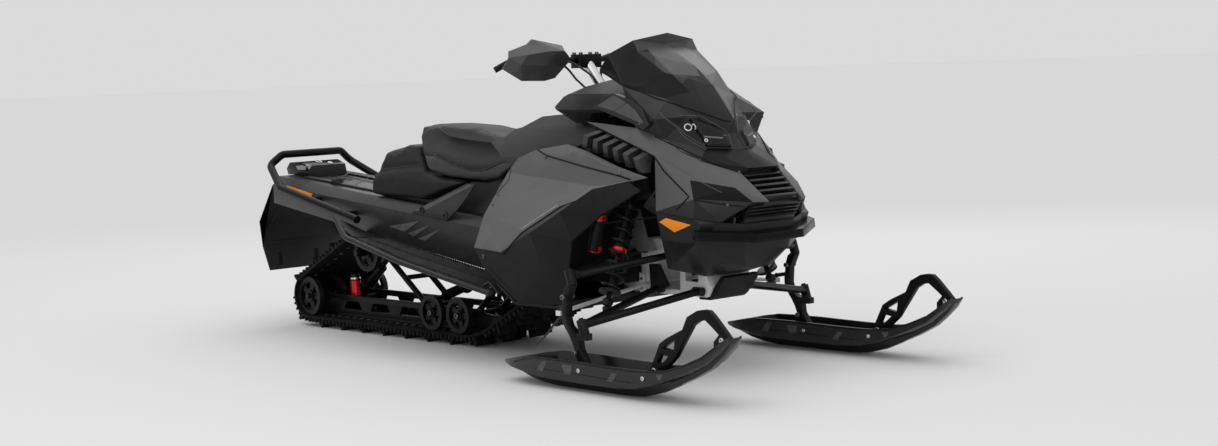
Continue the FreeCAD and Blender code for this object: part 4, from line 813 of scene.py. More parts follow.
def board_top(x, y):
    """The height of a board's plane at a place, and how far out the board reaches there."""
    stations = ((294.0, 265.0, 265.0, 428.0), (-236.0, 345.0, 349.0, 430.0), (-632.0, 404.0, 424.0, 400.0),
                (-766.0, 424.0, 497.0, 352.0))
    for (ax, ain, aout, areach), (bx, bin_, bout, breach) in zip(stations, stations[1:]):
        if bx <= x <= ax:
            share = (ax - x) / (ax - bx)
            low, high = ain + (bin_ - ain) * share, aout + (bout - aout) * share
            reach = areach + (breach - areach) * share
            return low + (high - low) * (y - board_inner_y) / (reach - board_inner_y), reach
    return 265, 428


for run in range(58):
    x = lattice_front - run * lattice_pitch
    for way in (1, -1):
        line = []
        for y in (216, 250, 290, 330, 370, 405):
            shift = x + way * (y - 300) * 0.55
            if lattice_rear < shift < lattice_front:
                level, edge = board_top(shift, y)
                if y < edge - lattice_margin:
                    line.append(at(shift, -y, level + 1.0))
        if len(line) > 1:
            lattice += both(line)
tube("board_lattice", lattice, 0.0022, board_black, round_ring=0)
for run in range(64):
    x = tooth_front - run * tooth_pitch
    for y in (232, 318, 402):
        level, edge = board_top(x, y)
        if y < edge - tooth_margin:
            for hand in (1, -1):
                tooth_moves.append(Matrix.Translation(at(x + (y % 3) * 3, -y * hand, level + 4.5)))
only()
bpy.ops.mesh.primitive_cone_add(vertices=5, radius1=0.0048, radius2=0.0028, depth=0.010)
tooth = bpy.context.object
tops(tooth)
bpy.ops.mesh.inset(thickness=0.0009)
bpy.ops.mesh.extrude_region_move(TRANSFORM_OT_translate={"value": (0, 0, -0.004)})
leave()
fitted(join_all("board_teeth", copies(tooth, tooth_moves)), board_black, "chassis")

# Slashes, brace screws and flap fittings.
# Grey marks pressed in the tunnel's chamfer and along the braces, screws in the
# braces, a bent toe loop on each board, and a ledge, a crease and two drain
# slots moulded on the snow flap.
slash_grey = finish("slash grey", (0.075, 0.075, 0.076), 0.35, specular=0.35, grain=1500, relief=0.08)
slashes = []
for marks in (((-606, 451), (-500, 433), (-400, 480)), ((-482, 428), (-441, 418), (-325, 469)),
              ((-415, 409), (-366, 404), (-268, 453))):
    slashes += both([at(x, -206.5, z) for x, z in marks])
plate("tunnel_slashes", slashes, 0.0024, slash_grey)
patch("brace_lips", "side_braces", ((414.5, 210.6), (469.0, 184.6), (472.6, 185.4), (424.0, 210.8)),
      0.0008, 0.0008, slash_grey, slot="tunnel_black", cuts=2)
brace_heads = twins([(at(x, -213.0, z), side_way) for x, z in ((-374, 525), (-228, 508))])
screws("brace_screws", brace_heads, 0.0145, 0.006, board_black)
tube("toe_loops", both([at(x, -400, z) for x, z in ((258, 299), (309, 262), (197, 271), (258, 299))]), 0.006,
     board_black, round_ring=2)
tube("flap_ledge", [laid("snow_flap", ((267.0, 243.5), (297.0, 239.5), (328.0, 235.2)), 0.001)], 0.005, flap_black)
for count, slot_line in enumerate((((278.4, 252.0), (281.6, 252.0), (282.6, 265.0), (279.4, 265.0)),
                                    ((314.8, 248.0), (318.0, 248.0), (319.0, 259.0), (315.8, 259.0)))):
    plate("flap_slot_%d" % count, [laid("snow_flap", slot_line, 0.0004, 40)], 0.003, seam_black)
tube("flap_crease", [laid("snow_flap", ((268.0, 226.0), (283.0, 205.0), (296.0, 195.5)))], 0.003, flap_black)

# Deck caps and lamp fittings.
# Plated rings round two caps on the rear deck, a clear bar in the tail lamp's
# housing, and thin crossed ribs pressed in the deck.
chrome = finish("plated ring", (0.7, 0.7, 0.71), 0.18, metallic=0.9, grain=1500, relief=0.03)
clear_bar = finish("clear lamp bar", (0.22, 0.22, 0.225), 0.12, specular=0.6, coat=0.4, grain=90,
                   relief=0.25, patch=0.4)
cap_rings = [ring_round(*touch("tail_lamp deck_rack tunnel", px, py, 0.002)[:2], size)
             for px, py, size in ((318.6, 161.7, 0.013), (330.0, 163.0, 0.009))]
tube("deck_caps", cap_rings, 0.0026, chrome, round_ring=2, closed=True)
patch("lamp_bars", "tail_lamp", ((296.0, 166.0), (306.0, 164.6), (312.0, 165.5), (309.0, 169.5), (298.0, 170.0)),
      0.001, 0.001, clear_bar, slot="lamp_red", cuts=2, twin=False)
deck_ribs = [laid("tunnel deck_rack", ends) for ends in (
    ((322.0, 175.0), (352.0, 180.0)), ((330.0, 182.0), (348.0, 174.0)), ((352.0, 186.0), (372.0, 177.0)),
    ((345.0, 176.5), (374.0, 183.0)))]
tube("deck_ribs", deck_ribs, 0.0032, tunnel_black)

# Side panels.
# Large satin grey mouldings that unclip for the engine, black below a cut seam;
# a facet under the top edge is painted darker as shade, and small screws hold the rear.
side_corners = corner_set(
    "rear_top 252 240 734;top_a 367 252 764;top_b 564 272 788;top_c 691 302 768;top_d 905 344 717;tip 1027 336 685;"
    "crease_rear 232 272 684;crease_front 800 382 655;crease_tip 895 382 663;rear_mid 176 345 536;"
    "rear_low 189 410 421;low_a 364 430 414;low_b 541 440 492;low_c 704 440 570;low_d 859 430 648;low_e 985 380 674")
panel_grey = finish("satin panel grey", (0.090, 0.090, 0.092), 0.40, specular=0.4, patch=0.06, **satin)
panel_painted_shade = finish("satin panel painted shade", (0.055, 0.055, 0.057), 0.38, specular=0.4, patch=0.06, **satin)
chamfer_painted_highlight = finish("painted chamfer highlight grey", (0.16, 0.16, 0.163), 0.4, specular=0.4, grain=1500, relief=0.05,
                   patch=0.05)
side_low_seam = ((478.0, 247.5), (484.0, 250.0), (503.0, 254.0), (521.5, 233.0), (541.0, 220.0), (560.5, 207.0),
                 (575.0, 201.5), (594.8, 196.0), (615.2, 186.0), (646.0, 180.0))
side_panels = crisp("side_panels", panel_grey, cuts=side_low_seam)
# The facet under the top edge takes a darker copy of the panel grey: painted shade.
paint(side_panels, panel_painted_shade, side_corners,
      "rear_top crease_rear top_a;top_a crease_rear crease_front top_b;top_b crease_front top_c;"
      "top_c crease_front crease_tip top_d;top_d crease_tip tip")
side_black = finish("satin lower black", (0.022, 0.022, 0.0225), 0.42, specular=0.3, grain=1300, relief=0.1,
                    patch=0.1)
paint_seen(side_panels, side_black, side_low_seam + ((720.0, 190.0), (720.0, 340.0), (460.0, 340.0)))
bead("side_low_seams", "side_panels belly_panels", side_low_seam[1:7], 0.0, 0.0032, seam_black)
inset_outline = ((538.5, 149.9), (567.4, 145.4), (593.5, 157.0), (620.7, 169.9), (620.1, 175.2), (584.4, 166.0),
                 (547.0, 155.0))
plate("side_inset", both(laid("side_panels", inset_outline, 0.0006, 60)), 0.003, panel_grey,
      edge=0.0006)
bead("side_inset_rim", "side_panels", ((538.3, 150.1), (547.0, 155.6), (584.4, 166.8), (620.4, 176.2),
                                       (634.3, 181.0)), 0.0003, 0.0032, seam_black)
bead("side_rear_bead", "side_panels", ((509.6, 157.2), (513.0, 161.5), (508.7, 180.0), (483.0, 209.5)), 0.0,
     0.0012, seam_black)
# A bright bead along the lower front chamfer is a painted highlight.
bead("side_chamfer_highlight", "side_panels", ((521.6, 229.4), (540.0, 217.0), (558.5, 204.9)), -0.0020, 0.0056, chamfer_painted_highlight)
side_heads = screw_spots("side_panels belly_panels", ((500.8, 185.5), (498.5, 195.3), (492.4, 204.8)))
screws("side_screws", side_heads, 0.0034, 0.003, bolt_steel)

# Lower side panels, vents and nose pan.
# Grained black mouldings under the panels, dark fins with foam behind them over
# the air intake, a satin black chin, and a gloss black bumper under the nose.
grain_black = finish("grained black", (0.007, 0.007, 0.0072), 0.5, dust=0.01, specular=0.15, grain=1100,
                     relief=0.22, patch=0.12)
crisp("belly_panels", grain_black)
screws("belly_screws", screw_spots("belly_panels", ((483.6, 256.6),)), 0.0075, 0.004, bolt_steel)
bead("belly_beads", "belly_panels", ((481.2, 266.3), (490.9, 269.9), (517.0, 298.0)), 0.0, 0.0016, grain_black)
fin_grey = finish("satin fin grey", (0.028, 0.028, 0.0285), 0.42, specular=0.3, grain=1300, relief=0.06,
                  patch=0.1)
dressed("side_vents", fin_grey, edge=0.0008, smooth=25)


def in_plane(pixels, y):
    """Where lines of the photo's view meet an upright plane beside the machine."""
    met = []
    for px, py in pixels:
        ray = view_ray(px, py)
        met.append(camera_place + ray * ((y - camera_place.y) / ray.y))
    return met


intake_foam = finish("intake foam", (0.0022, 0.0022, 0.0022), 0.9, specular=0.05, grain=260, relief=0.6, patch=0.3)
foam_outline = ((598.0, 130.0), (652.0, 154.0), (654.0, 184.0), (622.0, 174.0), (590.0, 152.0))
plate("intake_foams", both(in_plane(foam_outline, -0.205)), 0.003, intake_foam)
pan_black = finish("satin chin black", (0.011, 0.011, 0.0113), 0.32, dust=0.01, specular=0.22, patch=0.08,
                   **satin)
crisp("nose_pan", pan_black)
dressed("chin_skid", grain_black)
dressed("front_bumper", gloss_black_and_cheek_shade)
grille_black = finish("grille black", (0.006, 0.006, 0.006), 0.4, dust=0.01, specular=0.3, grain=1500,
                      relief=0.1)
dressed("grilles", grille_black, edge=0.0008)

# Headlamps.
# A dark gloss lens over a black box on each side of the brow, with three plated
# rings that glow faintly, grey reflector shelves, and a thin grey rim.
lens_black = finish("lamp box black", (0.004, 0.004, 0.0042), 0.12, specular=0.18, coat=0.05, relief=0.0)
shelf_grey = finish("lamp shelf grey", (0.10, 0.10, 0.105), 0.22, specular=0.6, coat=0.5, relief=0.0, patch=0.3)
ring_white = finish("lamp ring chrome", (0.28, 0.285, 0.29), 0.12, metallic=0.7, relief=0.02, patch=0.1)
glow = ring_white.node_tree.nodes["Principled BSDF"].inputs
glow["Emission Color"].default_value = (0.9, 0.95, 1.0, 1)
glow["Emission Strength"].default_value = 0.35
crisp("headlamps", lens_black, edge=0.001)
lamp_outline = ((665.2, 117.9), (677.7, 127.0), (685.6, 134.9), (706.0, 147.6), (732.6, 148.2), (728.7, 133.8),
                (725.3, 130.4), (700.3, 115.9), (682.2, 115.9))
patch("lamp_lenses", "headlamps hood", lamp_outline, 0.0012, 0.0012, lens_black, slot="lamp_clear", cuts=7)
tube("lamp_rims", both(laid("headlamps hood", lamp_outline, 0.0012, 3)), 0.0012, panel_grey,
     closed=True)
bead("lamp_grooves", "hood headlamps", ((659.5, 112.3), (665.2, 118.9), (677.0, 128.0), (681.1, 133.7),
                                        (689.0, 140.5), (706.1, 149.6)), 0.0004, 0.0012, panel_grey)
shelves = []
for outline in (((703.0, 136.0), (723.5, 137.6), (731.2, 147.2), (712.5, 147.0)),
                ((700.5, 117.5), (723.5, 131.0), (726.0, 135.6), (699.0, 133.0))):
    shelves += both(laid("headlamps", outline, 0.0020, 60))
plate("lamp_shelves", shelves, 0.0016, shelf_grey)
rings = []
for px, py, size in ((687.9, 127.6, 0.012), (694.6, 126.4, 0.009), (706.0, 140.6, 0.005)):
    rings += both(ring_round(*touch("headlamps hood", px, py, 0.0024)[:2], size))
tube("lamp_rings", rings, 0.0017, ring_white, round_ring=2, closed=True)

# Windshield.
# Smoked polycarbonate moulded in facets and divided by straight cuts into angular panes;
# the paler panes high up are painted light, the bright backdrop seen through the smoke,
# a low pane is painted shade, and the screen stands in a black rubber bead on the hood.
smoke = bpy.data.materials.new("smoked screen")
smoke.use_nodes = True
tree = smoke.node_tree
shader = tree.nodes["Principled BSDF"]
for label, value in (("Specular IOR Level", 0.2), ("Coat Weight", 0.04), ("Coat Roughness", 0.04),
                     ("Alpha", 0.97)):
    shader.inputs[label].default_value = value
place = tree.nodes.new("ShaderNodeTexCoord").outputs["Object"]
angled = tree.nodes.new("ShaderNodeMapping")
angled.inputs["Rotation"].default_value = (0.5, 0.35, 0.8)
angled.inputs["Scale"].default_value = (1.0, 1.5, 0.8)
tree.links.new(place, angled.inputs["Vector"])
panes = tree.nodes.new("ShaderNodeTexVoronoi")
panes.inputs["Scale"].default_value = 8.5
tree.links.new(angled.outputs["Vector"], panes.inputs["Vector"])
tone = tree.nodes.new("ShaderNodeSeparateColor")
tree.links.new(panes.outputs["Color"], tone.inputs[0])
height = tree.nodes.new("ShaderNodeSeparateXYZ")
tree.links.new(place, height.inputs[0])
# Pale facets high on the screen are painted light: the bright backdrop seen through the smoke.
upper = spread(tree, height.outputs["Z"], 0.88, 1.0)
pale = sums(tree, "MULTIPLY", spread(tree, tone.outputs["Red"], 0.38, 0.95), upper)
haze = shared(tree, "moulded surface", place, Grain=120.0)
shade = sums(tree, "ADD", sums(tree, "MULTIPLY", pale, 0.9), sums(tree, "MULTIPLY", haze["Cloud"], 0.1))
tree.links.new(blend_colour(tree, shade, (0.011, 0.011, 0.0114), (0.045, 0.045, 0.046)), shader.inputs["Base Color"])
tree.links.new(spread(tree, haze["Cloud"], 0.0, 1.0, 0.26, 0.34), shader.inputs["Roughness"])
pane_foot, pane_low, pane_mid, pane_high, pane_nose = (668, 97), (690, 92), (672, 74), (700, 76), (716, 108)
windshield = crisp("windshield", smoke, edge=0.0012,
                   cuts=(pane_foot, pane_low, pane_mid, pane_high, pane_nose, pane_low))
screen_corners = corner_set(
    "tip 1112 0 858.2;kink 954 160 937.2;rear 820 236 982.2;tail 670 204 1038;tail_top 729 218 1093;"
    "brow_low 1015 0 976;brow_high 931 0 1044;brim 788 0 1123;crown 803 0 1161;crown_out 780 144 1138;"
    "crease_top 803 144 1098;waist 912 127 1025")
dim = {"specular": 0.15, "coat": 0.03, "relief": 0.02, "patch": 0.15, "edge_wear_and_highlight": 0.0, "dust": 0.0}
dark_pane = finish("dark screen pane", (0.0035, 0.0035, 0.0036), 0.3, **dim)
pane_painted_light = finish("screen pane painted light", (0.080, 0.080, 0.082), 0.3, specular=0.25, coat=0.05, relief=0.02,
                   patch=0.2, edge_wear_and_highlight=0.0)
shaded_pane = finish("shaded screen pane", (0.0045, 0.0045, 0.0047), 0.3, **dim)
brim_pane = finish("grey screen brim", (0.030, 0.030, 0.031), 0.25, specular=0.3, coat=0.15, relief=0.02,
                   patch=0.12)
paint(windshield, dark_pane, screen_corners,
      "kink rear waist;rear crease_top waist;rear tail_top crease_top;rear tail tail_top;tail_top crown_out crease_top")
paint(windshield, brim_pane, screen_corners, "brim crease_top crown_out crown")
# The upper middle panes take a pale copy of the smoke: painted light seen through the screen.
paint_seen(windshield, pane_painted_light, ((652, 54), pane_mid, pane_high, (697, 52), (666, 50)))
paint_seen(windshield, shaded_pane, (pane_foot, pane_low, pane_mid, (664.5, 72)))
bead("screen_rim", shell, ((600.5, 71.5), (623.0, 84.0), (655.0, 98.1), (672.0, 103.2), (700.3, 112.3),
                           (723.0, 120.2), (730.4, 121.3)), 0.0006, 0.0022, seam_black)

# Seat.
# Foam under grained vinyl, crowned on top with its sides drawn in below a rim;
# a piped seam runs along the side, over a smoother skirt that is stapled under.
vinyl, inside, outside, links = effect("vinyl skin", "Grain", ("Height", "Cloud"))
cells = vinyl.nodes.new("ShaderNodeTexVoronoi")
cells.feature = "DISTANCE_TO_EDGE"
links.new(inside.outputs["Vector"], cells.inputs["Vector"])
links.new(inside.outputs["Grain"], cells.inputs["Scale"])
links.new(spread(vinyl, cells.outputs["Distance"], 0.0, 0.12), outside.inputs["Height"])
links.new(clouds(vinyl, inside, 9.0, 5.0), outside.inputs["Cloud"])

cloth, inside, outside, links = effect("coated weave", "Grain", ("Height", "Cloud"))
axes = cloth.nodes.new("ShaderNodeSeparateXYZ")
links.new(inside.outputs["Vector"], axes.inputs[0])
threads = []
for axis_pair in ("XZ", "YZ"):
    warp, weft = (sums(cloth, "SINE", sums(cloth, "MULTIPLY", axes.outputs[axis], inside.outputs["Grain"]), 0.0)
                  for axis in axis_pair)
    threads.append(sums(cloth, "MULTIPLY", warp, weft))
links.new(spread(cloth, sums(cloth, "ADD", threads[0], threads[1]), -1.5, 1.5), outside.inputs["Height"])
links.new(clouds(cloth, inside, 12.0, 6.0), outside.inputs["Cloud"])


soft_edge = 0.009
last_step = 20


def stuffed(node, name, material, shrink, reach, voxel, pressure):
    """A soft piece grown from its solid: remeshed, blown up as cloth and held to a reach."""
    piece = merged(node, name, material)
    leave()
    rounded(piece, soft_edge, 3, 35)
    grid = piece.modifiers.new("grid", "REMESH")
    grid.mode = "VOXEL"
    grid.voxel_size = voxel
    bpy.ops.object.modifier_apply(modifier="grid")
    edit()
    bpy.ops.mesh.vertices_smooth(factor=0.5, repeat=2)
    bpy.ops.transform.shrink_fatten(value=-shrink)
    leave()
    start = [spot.co.copy() for spot in piece.data.vertices]
    swell = piece.modifiers.new("swell", "CLOTH")
    swell.settings.quality = 5
    swell.settings.use_pressure = True
    swell.settings.uniform_pressure_force = pressure
    swell.settings.effector_weights.gravity = 0
    swell.point_cache.frame_start = 1
    swell.point_cache.frame_end = last_step
    for step in range(1, last_step + 1):
        scene.frame_set(step)
    bpy.ops.object.modifier_apply(modifier="swell")
    scene.frame_set(1)
    for spot, before in zip(piece.data.vertices, start):
        moved = spot.co - before
        if moved.length > reach:
            spot.co = before + moved * (reach / moved.length)
    edit()
    bpy.ops.mesh.vertices_smooth(factor=0.5, repeat=2)
    leave()
    coloured(piece, material)
    bpy.ops.object.shade_smooth()
    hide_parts(node)
    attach(piece, body_of_node[node])
    return piece


def height_on(line, x):
    """The height of a side view line at a station, both in metres."""
    for (ax, az), (bx, bz) in zip(line, line[1:]):
        if ax <= x <= bx:
            return az + (bz - az) * (x - ax) / (bx - ax)
    return line[0][1] if x < line[0][0] else line[-1][1]


def side_line(points):
    """A line of the side view in metres, from millimetres on the machine's own datum."""
    return [((x - datum_x) / 1000, z / 1000) for x, z in points]


def finer(piece):
    """One level of subdivision over a shaped soft piece."""
    levels = piece.modifiers.new("finer", "SUBSURF")
    levels.levels = 1
    levels.render_levels = 1
    only(piece)
    bpy.ops.object.modifier_apply(modifier="finer")


def beside(piece, points, lift, step=0.012):
    """A side view line drawn on a soft piece's right flank."""
    piece.data.update()
    skin = skin_of(piece.data)
    line = []
    for (ax, az), (bx, bz) in zip(points, points[1:]):
        count = max(1, round(hypot(bx - ax, bz - az) / step))
        for part in range(count):
            x, z = ax + (bx - ax) * part / count, az + (bz - az) * part / count
            place, normal = skin.ray_cast(Vector((x, -0.6, z)), -side_way)[:2]
            if place is not None:
                line.append(place + normal * lift)
    return line


seat_vinyl = finish("grained vinyl", (0.013, 0.013, 0.0133), 0.45, specular=0.2, surface="vinyl skin",
                    grain=420, relief=0.35, patch=0.15, edge_wear_and_highlight=0.0, dust=0.03)
skirt_vinyl = finish("smooth skirt vinyl", (0.030, 0.030, 0.0305), 0.4, specular=0.4, surface="vinyl skin",
                     grain=800, relief=0.15, patch=0.1, edge_wear_and_highlight=0.0)
piping_black = finish("piping", (0.008, 0.008, 0.008), 0.35, specular=0.4, surface="coated weave",
                      grain=2600, relief=0.3)
seat = stuffed("seat", "seat_cushion", seat_vinyl, 0.002, 0.005, 0.0072, 3.0)
rim_line = side_line(((-459, 855), (-383, 826), (-307, 805), (-195, 794), (-48, 784), (88, 784), (182, 786)))
piped_line = side_line(((-336, 734), (-254, 712), (-165, 692), (-107, 681), (-56, 680), (-4, 685), (69, 709),
                        (176, 742)))
waist_depth, waist_rise, waist_power, waist_loss = 0.19, 1.7, 1.2, 0.75
tail_front, tail_run, tail_tuck, tail_top, tail_drop = -0.26, 0.20, 0.062, 0.86, 0.2
rim_middle, rim_reach, rim_flare = 1.01, 0.11, 0.02
under_reach, under_draw = 0.10, 0.02
for spot in seat.data.vertices:
    top = height_on(rim_line, spot.co.x)
    low = height_on(piped_line, spot.co.x)
    share = (spot.co.z - low) / max(0.01, top - low)
    behind = min(1.0, max(0.0, (tail_front - spot.co.x) / tail_run))
    if 0.0 < share < 1.0 and abs(spot.co.y) > 0.06:
        drawn = waist_depth * sin(share ** waist_rise * pi) ** waist_power
        spot.co.y *= 1 - drawn * (1 - waist_loss * behind)
    if 0.9 < share < 1.12 and abs(spot.co.y) > 0.09:
        spot.co.y *= 1 + rim_flare * (1 - abs(share - rim_middle) / rim_reach)
    spot.co.x += tail_tuck * behind * min(1.0, max(0.0, (tail_top - spot.co.z) / tail_drop))
    if -under_reach < share <= 0.0:
        spot.co.y *= 1 - under_draw * (1 + share / under_reach)
seat.data.materials.append(skirt_vinyl)
for face in seat.data.polygons:
    if face.center.z < height_on(piped_line, face.center.x) - 0.004 and abs(face.normal.z) < 0.75:
        face.material_index = 1
finer(seat)
tube("seat_piping", both(beside(seat, piped_line, 0.0014)), 0.0028, piping_black)
tube("seat_rim_seam", both(beside(seat, rim_line, 0.0002)), 0.0016, piping_black)

# Storage bag.
# A stiffened bag of coated cloth, flat where it lies on the tunnel and full on
# top, with a bound edge drawn in along its side.
bag_cloth = finish("coated bag cloth", (0.0085, 0.0085, 0.0087), 0.5, specular=0.22, surface="coated weave",
                   grain=2400, relief=0.35, patch=0.15, edge_wear_and_highlight=0.2)
bag = stuffed("storage_bag", "storage_bag_shell", bag_cloth, 0.002, 0.004, 0.0075, 2.0)
bag_crease = side_line(((-690, 672), (-600, 681), (-480, 690), (-352, 693), (-200, 664)))
crease_reach = 0.02
for spot in bag.data.vertices:
    away = abs(spot.co.z - height_on(bag_crease, spot.co.x))
    if away < crease_reach and abs(spot.co.y) > 0.1:
        spot.co.y *= 1 - 0.045 * (1 - away / crease_reach)
finer(bag)
tube("bag_binding", both(beside(bag, bag_crease, 0.0004)), 0.002, piping_black)

# Tank cover, console and dash.
# Satin mouldings: the tank cover runs from the seat up to the dash pod, which
# has two flat panels, each with a groove across and a square fastener; a
# grained base carries the seat.
tank_grey = finish("satin tank grey", (0.022, 0.022, 0.0224), 0.42, specular=0.28, grain=1400, relief=0.06,
                   patch=0.08, edge_wear_and_highlight=0.15)
dressed("tank_cover", tank_grey, edge=0.003, crease=20)
console_black = finish("satin pod black", (0.012, 0.012, 0.0123), 0.4, specular=0.3, grain=1400, relief=0.08,
                       patch=0.1, edge_wear_and_highlight=0.15)
dressed("console", console_black, edge=0.0016, smooth=25)
dash_grey = finish("satin dash grey", (0.055, 0.055, 0.056), 0.38, specular=0.4, grain=1400, relief=0.05,
                   patch=0.07)
dash_outline = ((597.4, 106.0), (613.6, 95.2), (627.0, 103.0), (635.2, 110.0), (643.2, 121.4), (642.3, 123.8),
                (613.3, 110.8))
plate("dash_panels", both(laid("console", dash_outline, 0.0004, 60)), 0.0024, dash_grey,
      edge=0.0005)
tube("dash_grooves", both(laid("console", ((627.8, 102.4), (613.4, 111.6)), 0.0017, 60)), 0.0007, seam_black)
screws("dash_fasteners", screw_spots("console", ((639.9, 122.7),)), 0.0075, 0.003, bolt_steel, sides=4)
dressed("under_seat", finish("grained base black", (0.012, 0.012, 0.012), 0.5, specular=0.3))

# Front frame, engine and suspension.
# A bright folded bulkhead with bolted plates, a black engine, black tube arms
# with ball ends, and a coil over each shock, whose reservoir has red caps.
silver_alloy = finish("satin bulkhead alloy", (0.72, 0.72, 0.73), 0.42, metallic=0.35, grain=1200,
                      relief=0.08, patch=0.15)
dressed("front_frame", silver_alloy, edge=0.0015)
cast_black = finish("cast engine", (0.004, 0.004, 0.004), 0.6, dust=0.01, specular=0.15, grain=400, relief=0.4)
dressed("engine_block", cast_black, edge=0.006)
spring_black = finish("spring gloss black", (0.003, 0.003, 0.003), 0.3, dust=0.01, specular=0.25)
for node, material in (("upper_frame", powder_black), ("lower_arms", powder_black), ("upper_arms", powder_black),
                       ("tie_rods", silver_alloy), ("front_shocks", powder_black), ("front_springs", spring_black)):
    dressed(node, material, edge=0.0)


def sleeves(name, foot, head, low, high, radius):
    """A short red sleeve over a part of a rod, and its twin."""
    line = [foot.lerp(head, low), foot.lerp(head, high)]
    tube(name, both(line), radius, anodised_red, round_ring=5)


reservoir_foot, reservoir_head = at(742, -322, 430), at(775, -322, 552)
sleeves("reservoir_cap_top", reservoir_foot, reservoir_head, 0.86, 1.03, 0.0252)
sleeves("reservoir_cap_foot", reservoir_foot, reservoir_head, -0.03, 0.14, 0.0252)
sleeves("spring_collars", at(883, -400, 268), at(848, -240, 618), 0.44, 0.49, 0.026)

plate("bulkhead_plates", both(in_plane(((618.2, 271.2), (624.0, 265.8), (645.2, 274.6), (645.4, 291.6),
                                        (638.0, 292.6), (620.8, 281.8)), -0.1135)),
      0.004, silver_alloy, edge=0.001)
bulkhead_heads = in_plane(((626, 271), (634, 275), (641.5, 278.5), (641.5, 287)), -0.1165)
screws("bulkhead_bolts", twins([(place, side_way) for place in bulkhead_heads]), 0.0055, 0.004, bolt_steel)
plate("side_boxes", both(in_plane(((650.4, 263.8), (659.0, 263.8), (668.8, 285.6), (660.0, 293.0),
                                   (652.8, 292.0)), -0.125)), 0.016, grain_black, edge=0.002)
bracket_grey = finish("bracket alloy", (0.12, 0.12, 0.122), 0.4, metallic=0.2, grain=1200, relief=0.1, patch=0.15)
plate("upper_plates", both(in_plane(((633.6, 224.0), (640.0, 209.0), (648.0, 238.0), (657.0, 250.5),
                                     (640.0, 251.5), (629.0, 247.0)), -0.165)),
      0.004, bracket_grey, edge=0.001)

# Spindles, skis and grab loops.
# A forged black leg stands in each ski's saddle on one bolt; the ski is a gloss
# moulded trough with a steel runner under its keel and a hoop at its tip.
leg_black = finish("forged leg black", (0.0030, 0.0030, 0.0031), 0.34, dust=0.01, specular=0.16, grain=1500,
                   relief=0.12, patch=0.15, edge_wear_and_highlight=0.8)
hoop_black = finish("hoop plastic black", (0.0028, 0.0028, 0.0028), 0.36, dust=0.01, specular=0.14,
                    grain=1300, relief=0.12, edge_wear_and_highlight=0.5)
ski_black = finish("ski plastic", (0.0070, 0.0070, 0.0072), 0.22, specular=0.42, grain=1300, relief=0.06,
                   patch=0.15, edge_wear_and_highlight=0.4)
pad_grey = finish("ski pad grey", (0.048, 0.048, 0.049), 0.35, specular=0.3, grain=1300, relief=0.06)
runner_steel = finish("runner steel", (0.05, 0.05, 0.052), 0.3, metallic=0.9, grain=800, relief=0.1, edge_wear_and_highlight=0.8)
wall_pads = (((788, 89), (814, 92), (791, 56), (757, 56)), ((889, 87), (938, 89), (932, 58), (899, 58)),
             ((1133, 83), (1157, 82), (1132, 53), (1104, 53)), ((1332, 94), (1362, 99), (1354, 80), (1342, 76)))
wall_top = ((629, 76), (700, 94), (749, 101), (859, 103), (1029, 101), (1108, 99), (1217, 99), (1353, 108),
            (1440, 131), (1515, 161), (1572, 200))
keel_line = ((722, 8), (800, 2.5), (932, 2.5), (1130, 2.5), (1220, 8), (1300, 28), (1373, 57))
ski_y = 545
beyond_wall = 140
for side, hand in (("left", 1), ("right", -1)):
    body = "ski_" + side + "_unit"
    dressed("spindle_" + side, leg_black, edge=0.0016)
    dressed("ski_" + side, ski_black, edge=0.0012, smooth=20)
    dressed("ski_handle_" + side, hoop_black, edge=0.0022, rounds=3)
    ski_skin = skin_of(solids["ski_" + side].data)

    def on_wall(x, z, out, lift=0.0):
        """A place on one of a ski's two walls, met from outside."""
        start = at(x, hand * ski_y + out * beyond_wall, z)
        place, normal = ski_skin.ray_cast(start, Vector((0, -out, 0)))[:2]
        return place + normal * lift if place is not None else start

    pads = []
    rims = []
    lines = []
    heads = []
    hoop_ends = []
    leg_ends = []
    for out in (1, -1):
        way = Vector((0, out, 0))
        pads += [[on_wall(x, z, out, 0.0004) for x, z in pad] for pad in wall_pads]
        rims.append([on_wall(x, z - 4, out) for x, z in wall_top])
        lines.append([on_wall(x, z - 40 if z < 120 else z - 30, out) for x, z in wall_top[2:9]])
        heads += [(on_wall(x, z, out, 0.0015), way) for x, z in ((971, 74), (1273, 77))]
        hoop_ends += [(at(x, hand * ski_y + out * 11, z), way) for x, z in ((1565, 212), (1262, 92))]
        leg_ends += [(at(x, hand * ski_y + out * 21, z), way) for x, z in ((895, 118), (846, 300))]
    plate("ski_pads_" + side, pads, 0.002, pad_grey, body)
    tube("ski_rims_" + side, rims, 0.0030, hoop_black, body)
    tube("ski_lines_" + side, lines, 0.0018, hoop_black, body)
    screws("ski_bolts_" + side, heads, 0.0075, 0.005, bright_steel, body)
    tube("ski_runner_" + side, [[at(x, hand * ski_y, z + 1.5) for x, z in keel_line]], 0.0040, runner_steel, body,
         round_ring=2)
    screws("hoop_bolts_" + side, hoop_ends, 0.010, 0.006, bright_steel, body)
    screws("leg_bolts_" + side, leg_ends, 0.009, 0.008, bolt_steel, body)

